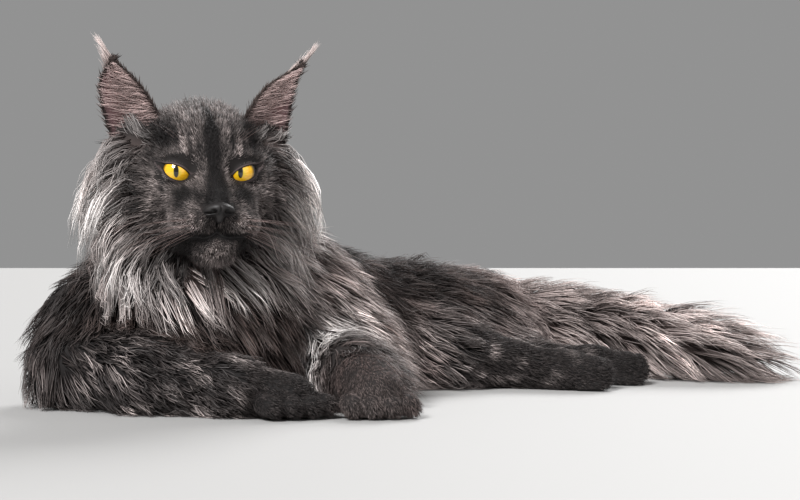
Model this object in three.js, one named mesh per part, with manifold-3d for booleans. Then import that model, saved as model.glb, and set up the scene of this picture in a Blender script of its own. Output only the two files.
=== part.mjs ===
// A life-size maine coon cat, lying with its chest up, its hips rolled over and its tail swept out beside it.
// Millimetres, +Z up. The origin is on the floor under the rib cage, the head is towards -Y and -X, the tail
// towards +X. Each named part is built from masses, round cones and ellipsoids that blend, wrapped by a mesh.
import * as THREE from "three";
import { mergeVertices } from "three/addons/utils/BufferGeometryUtils.js";
import Module from "manifold-3d";

const wasm = await Module();
wasm.setup();

// Driving sizes
const GAP = 0.3; // between touching parts
const HEAD_TURN = 16; // degrees that the face turns to the cat's left
const EYE_SPACING = 47;
const EYE_RADIUS = 10.5;
const EYE_SETBACK = 8; // eyeball centre behind the line between the corneas
const EAR_TOP = 80; // above the eyes
const EAR_ROWS = 6;
const EAR_ARC = 6;
const EAR_WALL = 2.2;
const EAR_RIM = 0.4; // how far the back of an ear stays inside its edge
const HEAD_ROWS = 23;
const HEAD_SIDES = 30;
const EYE_OPENING = [19, 12.5];
const LID_DEPTH = 1.9;
const TOE_RADIUS = 8;
const TOE_SPACING = TOE_RADIUS * 1.02;
const LOCK_THICKNESS = 2.8;
const LOCK_SUNK = 6; // how far a lock's root reaches in under the skin
const SEED = 7;

const EYE_LINE = new THREE.Vector3(-58, -185, 172); // midway between the corneas

const v = (x, y, z) => new THREE.Vector3(x, y, z);
const clamp = (x, low, high) => Math.min(high, Math.max(low, x));
const mix = (a, b, t) => a + (b - a) * t;
const range = (from, to, count) => Array.from({ length: count }, (_, i) => mix(from, to, i / (count - 1)));
const middleOf = (points) => points.reduce((sum, q) => sum.add(q), v(0, 0, 0)).divideScalar(points.length);

// Seeded random numbers
let seed = SEED;
function random() {
  seed = (seed + 0x6d2b79f5) | 0;
  let t = Math.imul(seed ^ (seed >>> 15), 1 | seed);
  t = (t + Math.imul(t ^ (t >>> 7), 61 | t)) ^ t;
  return ((t ^ (t >>> 14)) >>> 0) / 4294967296;
}
const spread = (amount) => (random() * 2 - 1) * amount;

// The head's own frame: forwards, to the cat's left, up
const turn = THREE.MathUtils.degToRad(HEAD_TURN);
const headForward = v(Math.sin(turn), -Math.cos(turn), 0);
const headLeft = v(Math.cos(turn), Math.sin(turn), 0);
const headUp = v(0, 0, 1);
const alongHead = (from, forward, left, up) =>
  from.clone().addScaledVector(headForward, forward).addScaledVector(headLeft, left).addScaledVector(headUp, up);
const atHead = (forward, left, up) => alongHead(EYE_LINE, forward, left, up);
const headDirection = (forward, left, up) => alongHead(v(0, 0, 0), forward, left, up);

// Masses. A round cone runs from one ball to another, an ellipsoid lies along the head's frame.
const cone = (from, to, r0, r1) => ({ from, to, r0, r1 });
const ellipsoid = (centre, radii) => ({ centre, radii });
const bothSides = (make) => [make(-1), make(1)];

const distanceToCone = (p, m) => {
  const along = m.to.clone().sub(m.from);
  const t = clamp(p.clone().sub(m.from).dot(along) / along.lengthSq(), 0, 1);
  return p.distanceTo(m.from.clone().addScaledVector(along, t)) - mix(m.r0, m.r1, t);
};
const distanceToEllipsoid = (p, m) => {
  const q = p.clone().sub(m.centre);
  const local = v(q.dot(headForward), q.dot(headLeft), q.dot(headUp));
  const near = local.clone().divide(m.radii).length();
  const far = local.clone().divide(m.radii).divide(m.radii).length();
  return far < 1e-9 ? -m.radii.x : (near * (near - 1)) / far;
};
const distanceTo = (p, mass) => (mass.radii ? distanceToEllipsoid(p, mass) : distanceToCone(p, mass));
const blended = (a, b, width) => {
  const overlap = Math.max(width - Math.abs(a - b), 0) / width;
  return Math.min(a, b) - (overlap * overlap * width) / 4;
};
// How far a point is outside a body, a list of masses that blend over its width
const outside = (p, body) => body.masses.reduce((d, mass) => blended(d, distanceTo(p, mass), body.blend), 1e3);

// Head: cranium, forehead, cheeks, bridge, whisker pads, brow, roots of the ears, chin, jaw and nose
const head = {
  blend: 11,
  masses: [
    ellipsoid(atHead(-46, 0, 9), v(47, 44, 38)),
    ellipsoid(atHead(-20, 0, 12), v(24, 32, 23)),
    ...bothSides((s) => ellipsoid(atHead(-30, 31 * s, -17), v(26, 19, 22))),
    cone(atHead(-12, 0, -2), atHead(24, 0, -21), 17, 10.5),
    ...bothSides((s) => ellipsoid(atHead(17, 13.5 * s, -37), v(19, 15, 13))),
    ...bothSides((s) => ellipsoid(atHead(-14, 24 * s, 9.5), v(13, 12, 6))),
    ...bothSides((s) => ellipsoid(atHead(-50, 48 * s, 16), v(17, 15, 21))),
    ellipsoid(atHead(15, 0, -54), v(14, 16.5, 10)),
    ...bothSides((s) => cone(atHead(6, 8 * s, -48), atHead(-42, 26 * s, -36), 12, 17)),
    ellipsoid(atHead(29.5, 0, -27), v(8.5, 9.5, 6.5)),
  ],
};
const NAPE = atHead(-62, 0, -26);
const THROAT = v(-79, -108, 112);
const WITHERS = v(-64, -76, 90);
const neck = {
  blend: 24,
  masses: [cone(NAPE, THROAT, 36, 46), cone(THROAT, WITHERS, 46, 52)],
};

// Torso, from the chest to the rump, along the spine
const CHEST = v(-75, -102, 68);
const RIBS = v(-25, -30, 62);
const WAIST = v(25, 30, 50);
const LOIN = v(75, 80, 45);
const PELVIS = v(128, 128, 41);
const RUMP = v(160, 165, 38);
const torso = {
  blend: 30,
  masses: [
    cone(CHEST, RIBS, 65, 64),
    cone(RIBS, WAIST, 64, 53),
    cone(WAIST, LOIN, 53, 48),
    cone(LOIN, PELVIS, 48, 43),
    cone(PELVIS, RUMP, 43, 36),
  ],
};

// Legs and tail. Each is a chain of joints with a radius at each joint, in lengths that bend only gently.
const joint = (x, y, z, r) => ({ at: v(x, y, z), r });
const length = (joints) => ({
  blend: 12,
  axis: joints.map((j) => j.at),
  masses: joints.slice(1).map((j, i) => cone(joints[i].at, j.at, joints[i].r, j.r)),
});
const limb = (...chains) => ({
  blend: 12,
  lengths: chains.map(length),
  masses: chains.flatMap((joints) => length(joints).masses),
});
const forelegRight = limb(
  [joint(-128, -78, 92, 36), joint(-160, -96, 60, 34), joint(-172, -118, 30, 28)],
  [joint(-172, -118, 29, 27), joint(-108, -166, 26, 26), joint(-40, -196, 20, 20), joint(4, -210, 15, 18)],
);
const forelegLeft = limb(
  [joint(2, -80, 84, 36), joint(24, -88, 52, 31), joint(34, -108, 30, 27)],
  [joint(34, -108, 30, 27), joint(40, -145, 24, 23), joint(48, -178, 19, 19), joint(70, -198, 14, 17)],
);
const hindLegLeft = limb(
  [joint(128, 108, 48, 42), joint(98, 70, 48, 40), joint(82, 40, 40, 34)],
  [joint(84, 40, 32, 30), joint(118, 34, 30, 27), joint(168, 40, 20, 19), joint(212, 24, 15, 17),
    joint(232, 16, 14, 16)],
);
const hindLegRight = limb(
  [joint(150, 142, 36, 34), joint(120, 110, 28, 30)],
  [joint(124, 104, 24, 26), joint(190, 92, 18, 18), joint(240, 78, 15, 17), joint(268, 70, 14, 16)],
);
const tail = limb(
  [joint(150, 165, 44, 30), joint(180, 190, 44, 27), joint(222, 192, 42, 25), joint(268, 168, 38, 24),
    joint(312, 134, 30, 21), joint(346, 118, 22, 17), joint(368, 112, 13, 11)],
);

// A mesh wrapped round a body: rings across a smooth axis, each vertex run out along a ray to the surface,
// and a rounded cap at each end
function surfaceAlong(from, ray, body, margin) {
  let t = 0;
  for (let i = 0; i < 60; i++) {
    const d = outside(from.clone().addScaledVector(ray, t), body) - margin;
    if (d > -0.01) break;
    t += Math.max(-d * 0.8, 0.02);
  }
  return from.clone().addScaledVector(ray, t);
}
function wrapped(body, axisPoints, { rings, sides, capRings, margin, up = v(0, 0, 1) }) {
  const axis = new THREE.CatmullRomCurve3(axisPoints);
  const rows = [];
  const frameAt = (t) => {
    const along = axis.getTangentAt(t);
    const side = v(0, 0, 0).crossVectors(up, along).normalize();
    return { at: axis.getPointAt(t), along, side, over: v(0, 0, 0).crossVectors(along, side) };
  };
  const row = (frame, tilt) => {
    const out = [];
    for (let i = 0; i < sides; i++) {
      const a = (2 * Math.PI * i) / sides;
      const radial = frame.side.clone().multiplyScalar(Math.cos(a)).addScaledVector(frame.over, Math.sin(a));
      const ray = radial.multiplyScalar(Math.cos(tilt)).addScaledVector(frame.along, Math.sin(tilt));
      out.push(surfaceAlong(frame.at, ray, body, margin));
    }
    return out;
  };
  const first = frameAt(0);
  const last = frameAt(1);
  for (let i = 1; i < capRings; i++) rows.push(row(first, -(Math.PI / 2) * (1 - i / capRings)));
  for (let i = 0; i <= rings; i++) rows.push(row(frameAt(i / rings), 0));
  for (let i = 1; i < capRings; i++) rows.push(row(last, (Math.PI / 2) * (i / capRings)));
  const start = surfaceAlong(first.at, first.along.clone().negate(), body, margin);
  const end = surfaceAlong(last.at, last.along, body, margin);
  return closedRows(rows, start, end);
}
// A closed mesh from rows of points, each row a ring, with a point at each end
function closedRows(rows, start, end) {
  const sides = rows[0].length;
  const points = [start, ...rows.flat(), end];
  const at = (row, i) => 1 + row * sides + ((i + sides) % sides);
  const index = [];
  for (let i = 0; i < sides; i++) {
    index.push(0, at(0, i + 1), at(0, i));
    for (let r = 0; r + 1 < rows.length; r++) {
      index.push(at(r, i), at(r, i + 1), at(r + 1, i + 1), at(r, i), at(r + 1, i + 1), at(r + 1, i));
    }
    index.push(points.length - 1, at(rows.length - 1, i), at(rows.length - 1, i + 1));
  }
  const geometry = new THREE.BufferGeometry().setFromPoints(points);
  geometry.setIndex(index);
  return geometry;
}

// Geometry to solid and back
function solid(geometry, tolerance = 1e-4) {
  const bare = geometry.clone();
  bare.deleteAttribute("normal");
  bare.deleteAttribute("uv");
  const merged = mergeVertices(bare, tolerance);
  return new wasm.Manifold(
    new wasm.Mesh({
      numProp: 3,
      vertProperties: new Float32Array(merged.attributes.position.array),
      triVerts: new Uint32Array(merged.index.array),
    }),
  );
}
const joined = (solids) => wasm.Manifold.union(solids);
function geometryOf(shape) {
  const mesh = shape.getMesh();
  const points = new Float32Array(mesh.numVert * 3);
  for (let i = 0; i < mesh.numVert; i++) {
    points.set(mesh.vertProperties.subarray(i * mesh.numProp, i * mesh.numProp + 3), i * 3);
  }
  const geometry = new THREE.BufferGeometry();
  geometry.setAttribute("position", new THREE.BufferAttribute(points, 3));
  geometry.setIndex(new THREE.BufferAttribute(new Uint32Array(mesh.triVerts), 1));
  geometry.computeVertexNormals();
  return geometry;
}

// Flesh of each part
const limbFlesh = (body, rings, sides) => (margin) => {
  const one = (part, i) => solid(wrapped(part, part.axis, { rings: rings[i], sides, capRings: 3, margin }));
  return joined(body.lengths.map(one));
};

// The head is wrapped from a point inside the face, with its pole at the nose and each ray run in from outside
function headFlesh(margin) {
  const inside = atHead(-20, 0, -16);
  const pole = atHead(38, 0, -27).sub(inside).normalize();
  const side = headLeft.clone();
  const over = v(0, 0, 0).crossVectors(pole, side).normalize();
  const outermost = (ray) => {
    let t = 120;
    for (let i = 0; i < 90; i++) {
      const d = outside(inside.clone().addScaledVector(ray, t), head) - margin;
      if (d < 0.02) break;
      t -= Math.max(d * 0.7, 0.02);
    }
    return inside.clone().addScaledVector(ray, t);
  };
  const rows = [];
  for (let r = 1; r < HEAD_ROWS; r++) {
    const away = Math.PI * (1 - Math.pow(1 - r / HEAD_ROWS, 1.25)); // rings lie closer together on the face
    const row = [];
    for (let i = 0; i < HEAD_SIDES; i++) {
      const a = (2 * Math.PI * i) / HEAD_SIDES;
      const ray = pole.clone().multiplyScalar(-Math.cos(away));
      ray.addScaledVector(side, Math.sin(away) * Math.cos(a)).addScaledVector(over, Math.sin(away) * Math.sin(a));
      row.push(outermost(ray.normalize()));
    }
    rows.push(row);
  }
  return solid(closedRows(rows, outermost(pole.clone().negate()), outermost(pole)));
}
const neckLine = [NAPE, THROAT, WITHERS];
const neckFlesh = (margin) =>
  solid(wrapped(neck, neckLine, { rings: 4, sides: 16, capRings: 3, margin, up: v(1, 0, 0) }));
const spine = [CHEST, RIBS, WAIST, LOIN, PELVIS, RUMP];
const torsoFlesh = (margin) => solid(wrapped(torso, spine, { rings: 11, sides: 16, capRings: 3, margin }));

// Face: lids over the eyeballs, an opening for each, the line of the mouth and the nostrils
const gazeOf = (side) => headDirection(1, 0.2 * side, -0.02).normalize();
const lids = (side) => (margin) => {
  const at = eyeCentre(side);
  return solid(new THREE.SphereGeometry(EYE_RADIUS + LID_DEPTH + margin, 14, 9).translate(at.x, at.y, at.z));
};
// The opening between the lids: a low inner corner, a flat upper edge and a round lower one, cut along the gaze
function eyeOpening(side) {
  const [wide, high] = EYE_OPENING.map((size) => size / 2);
  const lens = new THREE.Shape();
  lens.moveTo(-wide, -high * 0.45);
  lens.quadraticCurveTo(-wide * 0.4, high * 1.15, wide * 0.35, high * 0.92);
  lens.quadraticCurveTo(wide * 0.85, high * 0.75, wide, high * 0.15);
  lens.quadraticCurveTo(wide * 0.2, -high * 1.6, -wide, -high * 0.45);
  const prism = new THREE.ExtrudeGeometry(lens, { depth: 40, bevelEnabled: false, curveSegments: 5 });
  const gaze = gazeOf(side);
  const out = headLeft.clone().multiplyScalar(side).addScaledVector(gaze, -headLeft.dot(gaze) * side).normalize();
  const rise = headUp.clone().addScaledVector(gaze, -headUp.dot(gaze)).normalize();
  const basis = new THREE.Matrix4().makeBasis(out, rise, gaze).setPosition(eyeCentre(side));
  prism.applyMatrix4(basis);
  const closed = mergeVertices(prism, 1e-4);
  if (side < 0) flipFaces(closed);
  return solid(closed);
}
// Turns a mesh that was mirrored the right way out
function flipFaces(geometry) {
  const index = geometry.index.array;
  for (let i = 0; i < index.length; i += 3) [index[i], index[i + 1]] = [index[i + 1], index[i]];
}
const onFace = (left, up) => {
  const ray = headDirection(-1, 0, 0);
  const at = atHead(70, left, up);
  for (let i = 0; i < 80; i++) {
    const d = outside(at, head);
    if (d < 0.02) break;
    at.addScaledVector(ray, Math.max(d * 0.7, 0.02));
  }
  return at;
};
// A round bar along a line on the face, sunk to its middle
const GROOVE_SIDES = 6;
const groove = (points, radius) => {
  const curve = new THREE.CatmullRomCurve3(points.map(([left, up]) => onFace(left, up)));
  return solid(capped(new THREE.TubeGeometry(curve, points.length * 2, radius, GROOVE_SIDES), GROOVE_SIDES));
};
// A tube geometry with a flat cap over each end
function capped(tube, sides) {
  const rings = tube.attributes.position.count / (sides + 1);
  const point = (r, i) => new THREE.Vector3().fromBufferAttribute(tube.attributes.position, r * (sides + 1) + i);
  const rows = Array.from({ length: rings }, (_, r) => Array.from({ length: sides }, (_, i) => point(r, i)));
  const closed = closedRows(rows, middleOf(rows[0]), middleOf(rows[rings - 1]));
  if (solid(closed).volume() < 0) flipFaces(closed);
  return closed;
}
const HALF_MOUTH = [[28, -46], [21, -47.5], [13, -49], [5, -47.5]];
const MOUTH = [...HALF_MOUTH.map(([left, up]) => [-left, up]), [0, -44.5], ...HALF_MOUTH.slice().reverse()];
const PHILTRUM = [[0, -33], [0, -38], [0, -45]];
const MOUTH_GROOVE = 1.5;
const PHILTRUM_GROOVE = 1;
const NOSTRIL = { left: 5, up: -29, radius: 2.3 };
const nostril = (side) => {
  const at = onFace(NOSTRIL.left * side, NOSTRIL.up);
  return solid(new THREE.SphereGeometry(NOSTRIL.radius, 8, 6).translate(at.x, at.y, at.z));
};
function face(margin) {
  const shape = joined([headFlesh(margin), lids(1)(margin), lids(-1)(margin)]);
  if (margin > 0) return shape;
  const grooves = [groove(MOUTH, MOUTH_GROOVE), groove(PHILTRUM, PHILTRUM_GROOVE)];
  return shape.subtract(joined([eyeOpening(1), eyeOpening(-1), ...grooves, nostril(1), nostril(-1)]));
}

const eyeCentre = (side) => atHead(-EYE_SETBACK, (side * EYE_SPACING) / 2, 0);
const eyeBall = (side) => (margin) => {
  const at = eyeCentre(side);
  return solid(new THREE.SphereGeometry(EYE_RADIUS + margin, 12, 8).translate(at.x, at.y, at.z));
};

// An ear: a thin cup between an inner and an outer edge that meet at the tip, open forwards and outwards
const earEdges = (side) => {
  const bulge = side > 0 ? 66 : 72;
  const tip = atHead(-28, side * (side > 0 ? 72 : 65.5), EAR_TOP);
  const inner = [atHead(-44, 24 * side, 28), atHead(-38, 33 * side, 44), atHead(-33, 47 * side, 64), tip];
  const outer = [
    atHead(-56, 58 * side, 10), atHead(-52, 64 * side, 26), atHead(-42, bulge * side, 48),
    atHead(-33, (bulge + 2) * side, 66), tip,
  ];
  return { tip, inner: new THREE.CatmullRomCurve3(inner), outer: new THREE.CatmullRomCurve3(outer) };
};
const earFlesh = (side) => (margin) => {
  const { inner, outer } = earEdges(side);
  const facing = headDirection(0.86, 0.5 * side, 0.08).normalize();
  const rows = [];
  for (let i = 0; i <= EAR_ROWS; i++) {
    const t = (i / EAR_ROWS) * 0.97;
    const from = inner.getPoint(t);
    const to = outer.getPoint(t);
    const across = to.clone().sub(from);
    const edge = across.clone().normalize();
    const depth = across.length() * 0.36;
    const row = [];
    for (const face of [1, -1]) {
      for (let j = 0; j < EAR_ARC; j++) {
        const s = face * ((2 * j) / (EAR_ARC - 1) - 1);
        const hollow = depth * (1 - s * s) - face * (EAR_WALL / 2 + margin);
        const half = across.length() / 2 + margin - (face > 0 ? 0 : EAR_RIM);
        row.push(from.clone().lerp(to, 0.5).addScaledVector(edge, s * half).addScaledVector(facing, -hollow));
      }
    }
    rows.push(side > 0 ? row : row.reverse());
  }
  return solid(closedRows(rows, middleOf(rows[0]), middleOf(rows[EAR_ROWS])));
};

// Locks of the long coat. Each is flat and tapered, starts inside its own part and lies over the flesh of all.
const flesh = [head, neck, torso, forelegRight, forelegLeft, hindLegLeft, hindLegRight, tail];
const outsideAll = (p) => Math.min(...flesh.map((body) => outside(p, body)));
function slope(p) {
  const d = outsideAll(p);
  const n = ["x", "y", "z"].map((axis) => {
    const q = p.clone();
    q[axis] += 0.5;
    return outsideAll(q) - d;
  });
  return v(...n).normalize();
}
const LOCK_WIDTHS = [0.7, 1, 0.95, 0.72, 0.42];
function lockPath(root, { flow, length, lift, droop = 0.2, clear, rings = 3, facing = v(0, 0, 0) }) {
  const normal = slope(root);
  const path = [{ at: root.clone().addScaledVector(normal, -LOCK_SUNK), normal }];
  const at = root.clone();
  const stray = v(spread(0.16), spread(0.16), spread(0.1));
  for (let i = 1; i <= rings; i++) {
    const t = i / rings;
    const up = slope(at);
    const way = flow(at, up, t).clone().normalize().add(stray).addScaledVector(up, lift * (1 - t));
    way.z -= droop * t;
    at.addScaledVector(way.normalize(), length / rings);
    const wanted = mix(clear[0], clear[1], t);
    for (let pass = 0; pass < 2; pass++) {
      const d = outsideAll(at);
      if (d < wanted) at.addScaledVector(slope(at), wanted - d);
    }
    at.z = Math.max(at.z, 1.6);
    path.push({ at: at.clone(), normal: slope(at).add(facing).normalize() });
  }
  return path;
}
function lockSolid({ path, width, thickness }, margin) {
  const last = path.length - 1;
  const rows = path.slice(0, last).map((step, i) => {
    const along = path[i + 1].at.clone().sub(path[Math.max(i - 1, 0)].at).normalize();
    const side = v(0, 0, 0).crossVectors(step.normal, along).normalize();
    const over = v(0, 0, 0).crossVectors(along, side);
    const half = (width * LOCK_WIDTHS[Math.round((i / last) * 4)]) / 2 + margin * 1.8;
    const thick = thickness * (1 - (0.5 * i) / last);
    return [[-half, -margin], [half, -margin], [0, thick + margin * 1.8]].map(([x, y]) =>
      step.at.clone().addScaledVector(side, x).addScaledVector(over, y));
  });
  const ahead = path[last].at.clone().sub(path[last - 1].at).normalize();
  return solid(closedRows(rows, middleOf(rows[0]), path[last].at.clone().addScaledVector(ahead, margin)));
}

const coat = Object.fromEntries(
  ["head", "ear_left", "ear_right", "neck", "torso", "foreleg_right", "foreleg_left", "hind_leg_left",
    "hind_leg_right", "tail"].map((name) => [name, []]),
);
function comb(name, body, root, { width, thickness = LOCK_THICKNESS, ...path }) {
  const buried = flesh.some((other) => other !== body && outside(root, other) < 0.3);
  if (buried || root.z < 4) return;
  const scale = 1 + spread(0.15);
  const made = lockPath(root, { ...path, length: path.length * (1 + spread(0.18)) });
  coat[name].push({ path: made, width: width * scale, thickness });
}
// Rows of locks round a length of body: where along it, and at which angles round it (90 is on top)
function combRound(name, body, axisPoints, places, angles, options) {
  const axis = new THREE.CatmullRomCurve3(axisPoints);
  places.forEach((place, row) => {
    angles.forEach((angle, i) => {
      const t = clamp(place + spread(0.02), 0, 1);
      const a = THREE.MathUtils.degToRad(angle + (row % 2 ? 0.5 : 0) * (angles[1] - angles[0]) + spread(5));
      const along = axis.getTangentAt(t);
      const side = v(0, 0, 0).crossVectors(v(0, 0, 1), along).normalize();
      const over = v(0, 0, 0).crossVectors(along, side);
      const ray = side.multiplyScalar(Math.cos(a)).addScaledVector(over, Math.sin(a));
      const root = surfaceAlong(axis.getPointAt(t), ray, body, 0);
      const flow = (p, up, s) => options.flow(along, up, s, angle, p);
      comb(name, body, root, { ...options, flow });
    });
  });
}
const DOWN = v(0, 0, -1);
const DEGREE = 0.01745;

// Cheeks and ruff: tiers on each side, from the ear's root to under the jaw, out and then down
const TIERS = [
  { back: -30, reach: 30, wide: 0.35, high: -6, count: 4, clear: 9, width: 14 },
  { back: -44, reach: 50, wide: 0.9, high: 10, count: 4, clear: 14, width: 17 },
  { back: -58, reach: 70, wide: 1.3, high: 34, count: 6, clear: 20, width: 19 },
  { back: -74, reach: 80, wide: 1.4, high: 38, count: 5, clear: 22, width: 20 },
];
for (const side of [1, -1]) {
  for (const tier of TIERS) {
    for (const height of range(tier.high, -46, tier.count)) {
      const from = atHead(tier.back, 0, height * 0.75);
      const ray = headDirection(-0.15, side, (height - 10) * 0.006).normalize();
      const root = surfaceAlong(from, ray, head, 0);
      const sweep = (s) => headDirection(-0.15, side * tier.wide * mix(1.15, -0.2, s), mix(-0.25, -1.1, s));
      comb("head", head, root, { flow: (p, up, s) => sweep(s), length: tier.reach, width: tier.width,
        lift: 0.5, droop: 0.3, clear: [3, tier.clear], rings: tier.reach > 50 ? 4 : 3, facing: headForward });
    }
  }
}
const outOfNeck = (p) => v(p.x + 78, p.y + 112, 0).normalize();
combRound("neck", neck, neckLine, [0.02, 0.26, 0.5, 0.76], range(0, 327, 11), {
  flow: (along, up, s, angle, p) => outOfNeck(p).multiplyScalar(0.95 - 0.8 * s).addScaledVector(DOWN, 0.75),
  length: 62, width: 21, lift: 0.8, droop: 0.5, clear: [3, 20], rings: 4, facing: v(0, -0.5, 0) });
// Bib: down the chest from the throat to the forearms
for (const height of [58, 40, 20, 0]) {
  for (const turned of range(-60, 64, 6)) {
    const az = THREE.MathUtils.degToRad(turned + spread(6));
    const el = THREE.MathUtils.degToRad(height + spread(4));
    const ray = v(Math.sin(az) * Math.cos(el), -Math.cos(az) * Math.cos(el), Math.sin(el));
    const sweep = v(ray.x * 0.35 + 0.18, ray.y * 0.35, -1);
    comb("torso", torso, surfaceAlong(CHEST, ray, torso, 0), {
      flow: () => sweep, length: 52, width: 21, lift: 0.45, droop: 0.2, clear: [2, 13] });
  }
}
// Back, flanks and belly
combRound("torso", torso, spine, range(0.24, 0.98, 8), [20, 55, 90, 125, 160], {
  flow: (along, up, s, angle) => along.clone().addScaledVector(DOWN, 0.5 * Math.abs(Math.cos(angle * DEGREE))),
  length: 46, width: 19, lift: 0.35, droop: 0.2, clear: [2, 12] });
combRound("torso", torso, spine, range(0.26, 0.6, 5), [178, 200], {
  flow: (along) => along.clone().multiplyScalar(0.5).addScaledVector(DOWN, 0.7).add(v(0.3, -0.2, 0)),
  length: 46, width: 18, lift: 0.4, droop: 0.2, clear: [2, 10] });
// Shoulder and forelegs
combRound("foreleg_right", forelegRight, forelegRight.lengths[0].axis, [0.05, 0.4, 0.75], [20, 75, 130, 185], {
  flow: () => v(-0.35, 0.1, -0.9), length: 42, width: 17, lift: 0.35, clear: [2, 12] });
combRound("foreleg_left", forelegLeft, forelegLeft.lengths[0].axis, [0.1, 0.5, 0.9], [40, 95, 150, 205], {
  flow: () => v(0.5, 0.15, -0.75), length: 38, width: 15, lift: 0.3, clear: [2, 10] });
// Haunches and hind legs
combRound("hind_leg_left", hindLegLeft, hindLegLeft.lengths[0].axis, [0.1, 0.45, 0.8], [-30, 20, 70, 120], {
  flow: () => v(0.85, -0.15, -0.3), length: 42, width: 17, lift: 0.3, clear: [2, 11] });
// Tail: a plume
combRound("tail", tail, tail.lengths[0].axis, range(0.08, 0.97, 8), [10, 70, 130, 190, 250, 310], {
  flow: (along, up) => along.clone().addScaledVector(up, 0.4),
  length: 56, width: 21, lift: 0.25, droop: 0.12, clear: [4, 19], rings: 4 });
// Ears: tufts that carry the tips on, and hair across each cup from its inner edge
for (const side of [1, -1]) {
  const name = side > 0 ? "ear_left" : "ear_right";
  const { tip, inner, outer } = earEdges(side);
  for (const [length, out] of [[27, 0.62], [21, 0.4], [17, 0.85]]) {
    const way = headDirection(-0.1, out * side, 0.86).normalize();
    const facing = headDirection(0.86, 0.5 * side, 0.08).normalize();
    const path = [-7, 2, length * 0.4, length * 0.72, length].map((s, i) => ({
      at: tip.clone().addScaledVector(way, s).addScaledVector(headDirection(0, -side * 0.02, 0), i * s),
      normal: facing,
    }));
    coat[name].push({ path, width: 6.5, thickness: 2.4 });
  }
  for (const t of [0.22, 0.42, 0.62]) {
    const from = inner.getPoint(t);
    const across = outer.getPoint(t * 0.9 + 0.12).sub(from);
    const facing = headDirection(0.86, 0.5 * side, 0.08).normalize();
    const path = [-0.04, 0.2, 0.45, 0.7].map((s, i) => ({
      at: from.clone().addScaledVector(across, s).addScaledVector(facing, [-1.5, 3, 4.5, 4][i]),
      normal: facing,
    }));
    coat[name].push({ path, width: 7, thickness: 2 });
  }
}

// Toes at the end of each paw, side by side across it
const toes = (paw, ahead, across) => (margin) =>
  [-1.5, -0.5, 0.5, 1.5].map((k) => {
    const at = paw.clone().addScaledVector(across, k * TOE_SPACING).addScaledVector(ahead, (1.5 - Math.abs(k)) * 3);
    return solid(new THREE.SphereGeometry(TOE_RADIUS + margin, 7, 5).translate(at.x, at.y, at.z));
  });
const pawToes = {
  foreleg_right: toes(v(12, -212, 11), v(0.93, -0.3, 0), v(0.25, 0.9, 0.1)),
  foreleg_left: toes(v(78, -205, 10), v(0.75, -0.6, 0), v(0.6, 0.75, 0.1)),
  hind_leg_left: toes(v(240, 14, 12), v(0.95, -0.3, 0), v(0.2, 0.6, 0.55)),
  hind_leg_right: toes(v(276, 67, 12), v(0.95, -0.3, 0), v(0.2, 0.6, 0.55)),
};

// The floor: everything below it is cut away, so that the parts rest on flats at one level
const FLOOR_BOX = 900;
const aboveFloor = solid(
  new THREE.BoxGeometry(FLOOR_BOX, FLOOR_BOX, FLOOR_BOX).translate(70, 0, FLOOR_BOX / 2),
);

const coatSolids = (name) => (margin) => (coat[name] ?? []).map((made) => lockSolid(made, margin));
const parts = [
  { name: "eye_left", flesh: eyeBall(1), colour: 0xd9a410, roughness: 0.1 },
  { name: "eye_right", flesh: eyeBall(-1), colour: 0xd9a410, roughness: 0.1 },
  { name: "head", flesh: face, colour: 0x2a2625, roughness: 0.9 },
  { name: "ear_left", flesh: earFlesh(1), colour: 0x57494a, roughness: 0.9 },
  { name: "ear_right", flesh: earFlesh(-1), colour: 0x57494a, roughness: 0.9 },
  { name: "neck", flesh: neckFlesh, colour: 0x8a8280, roughness: 0.9 },
  { name: "torso", flesh: torsoFlesh, colour: 0x4a4340, roughness: 0.9 },
  { name: "foreleg_right", flesh: limbFlesh(forelegRight, [2, 7], 12), colour: 0x2c2827, roughness: 0.9 },
  { name: "foreleg_left", flesh: limbFlesh(forelegLeft, [2, 5], 12), colour: 0x4a4542, roughness: 0.9 },
  { name: "hind_leg_left", flesh: limbFlesh(hindLegLeft, [2, 7], 12), colour: 0x2c2827, roughness: 0.9 },
  { name: "hind_leg_right", flesh: limbFlesh(hindLegRight, [2, 5], 12), colour: 0x1c1918, roughness: 0.9 },
  { name: "tail", flesh: limbFlesh(tail, [9], 10), colour: 0x6f6663, roughness: 0.9 },
];

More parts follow.
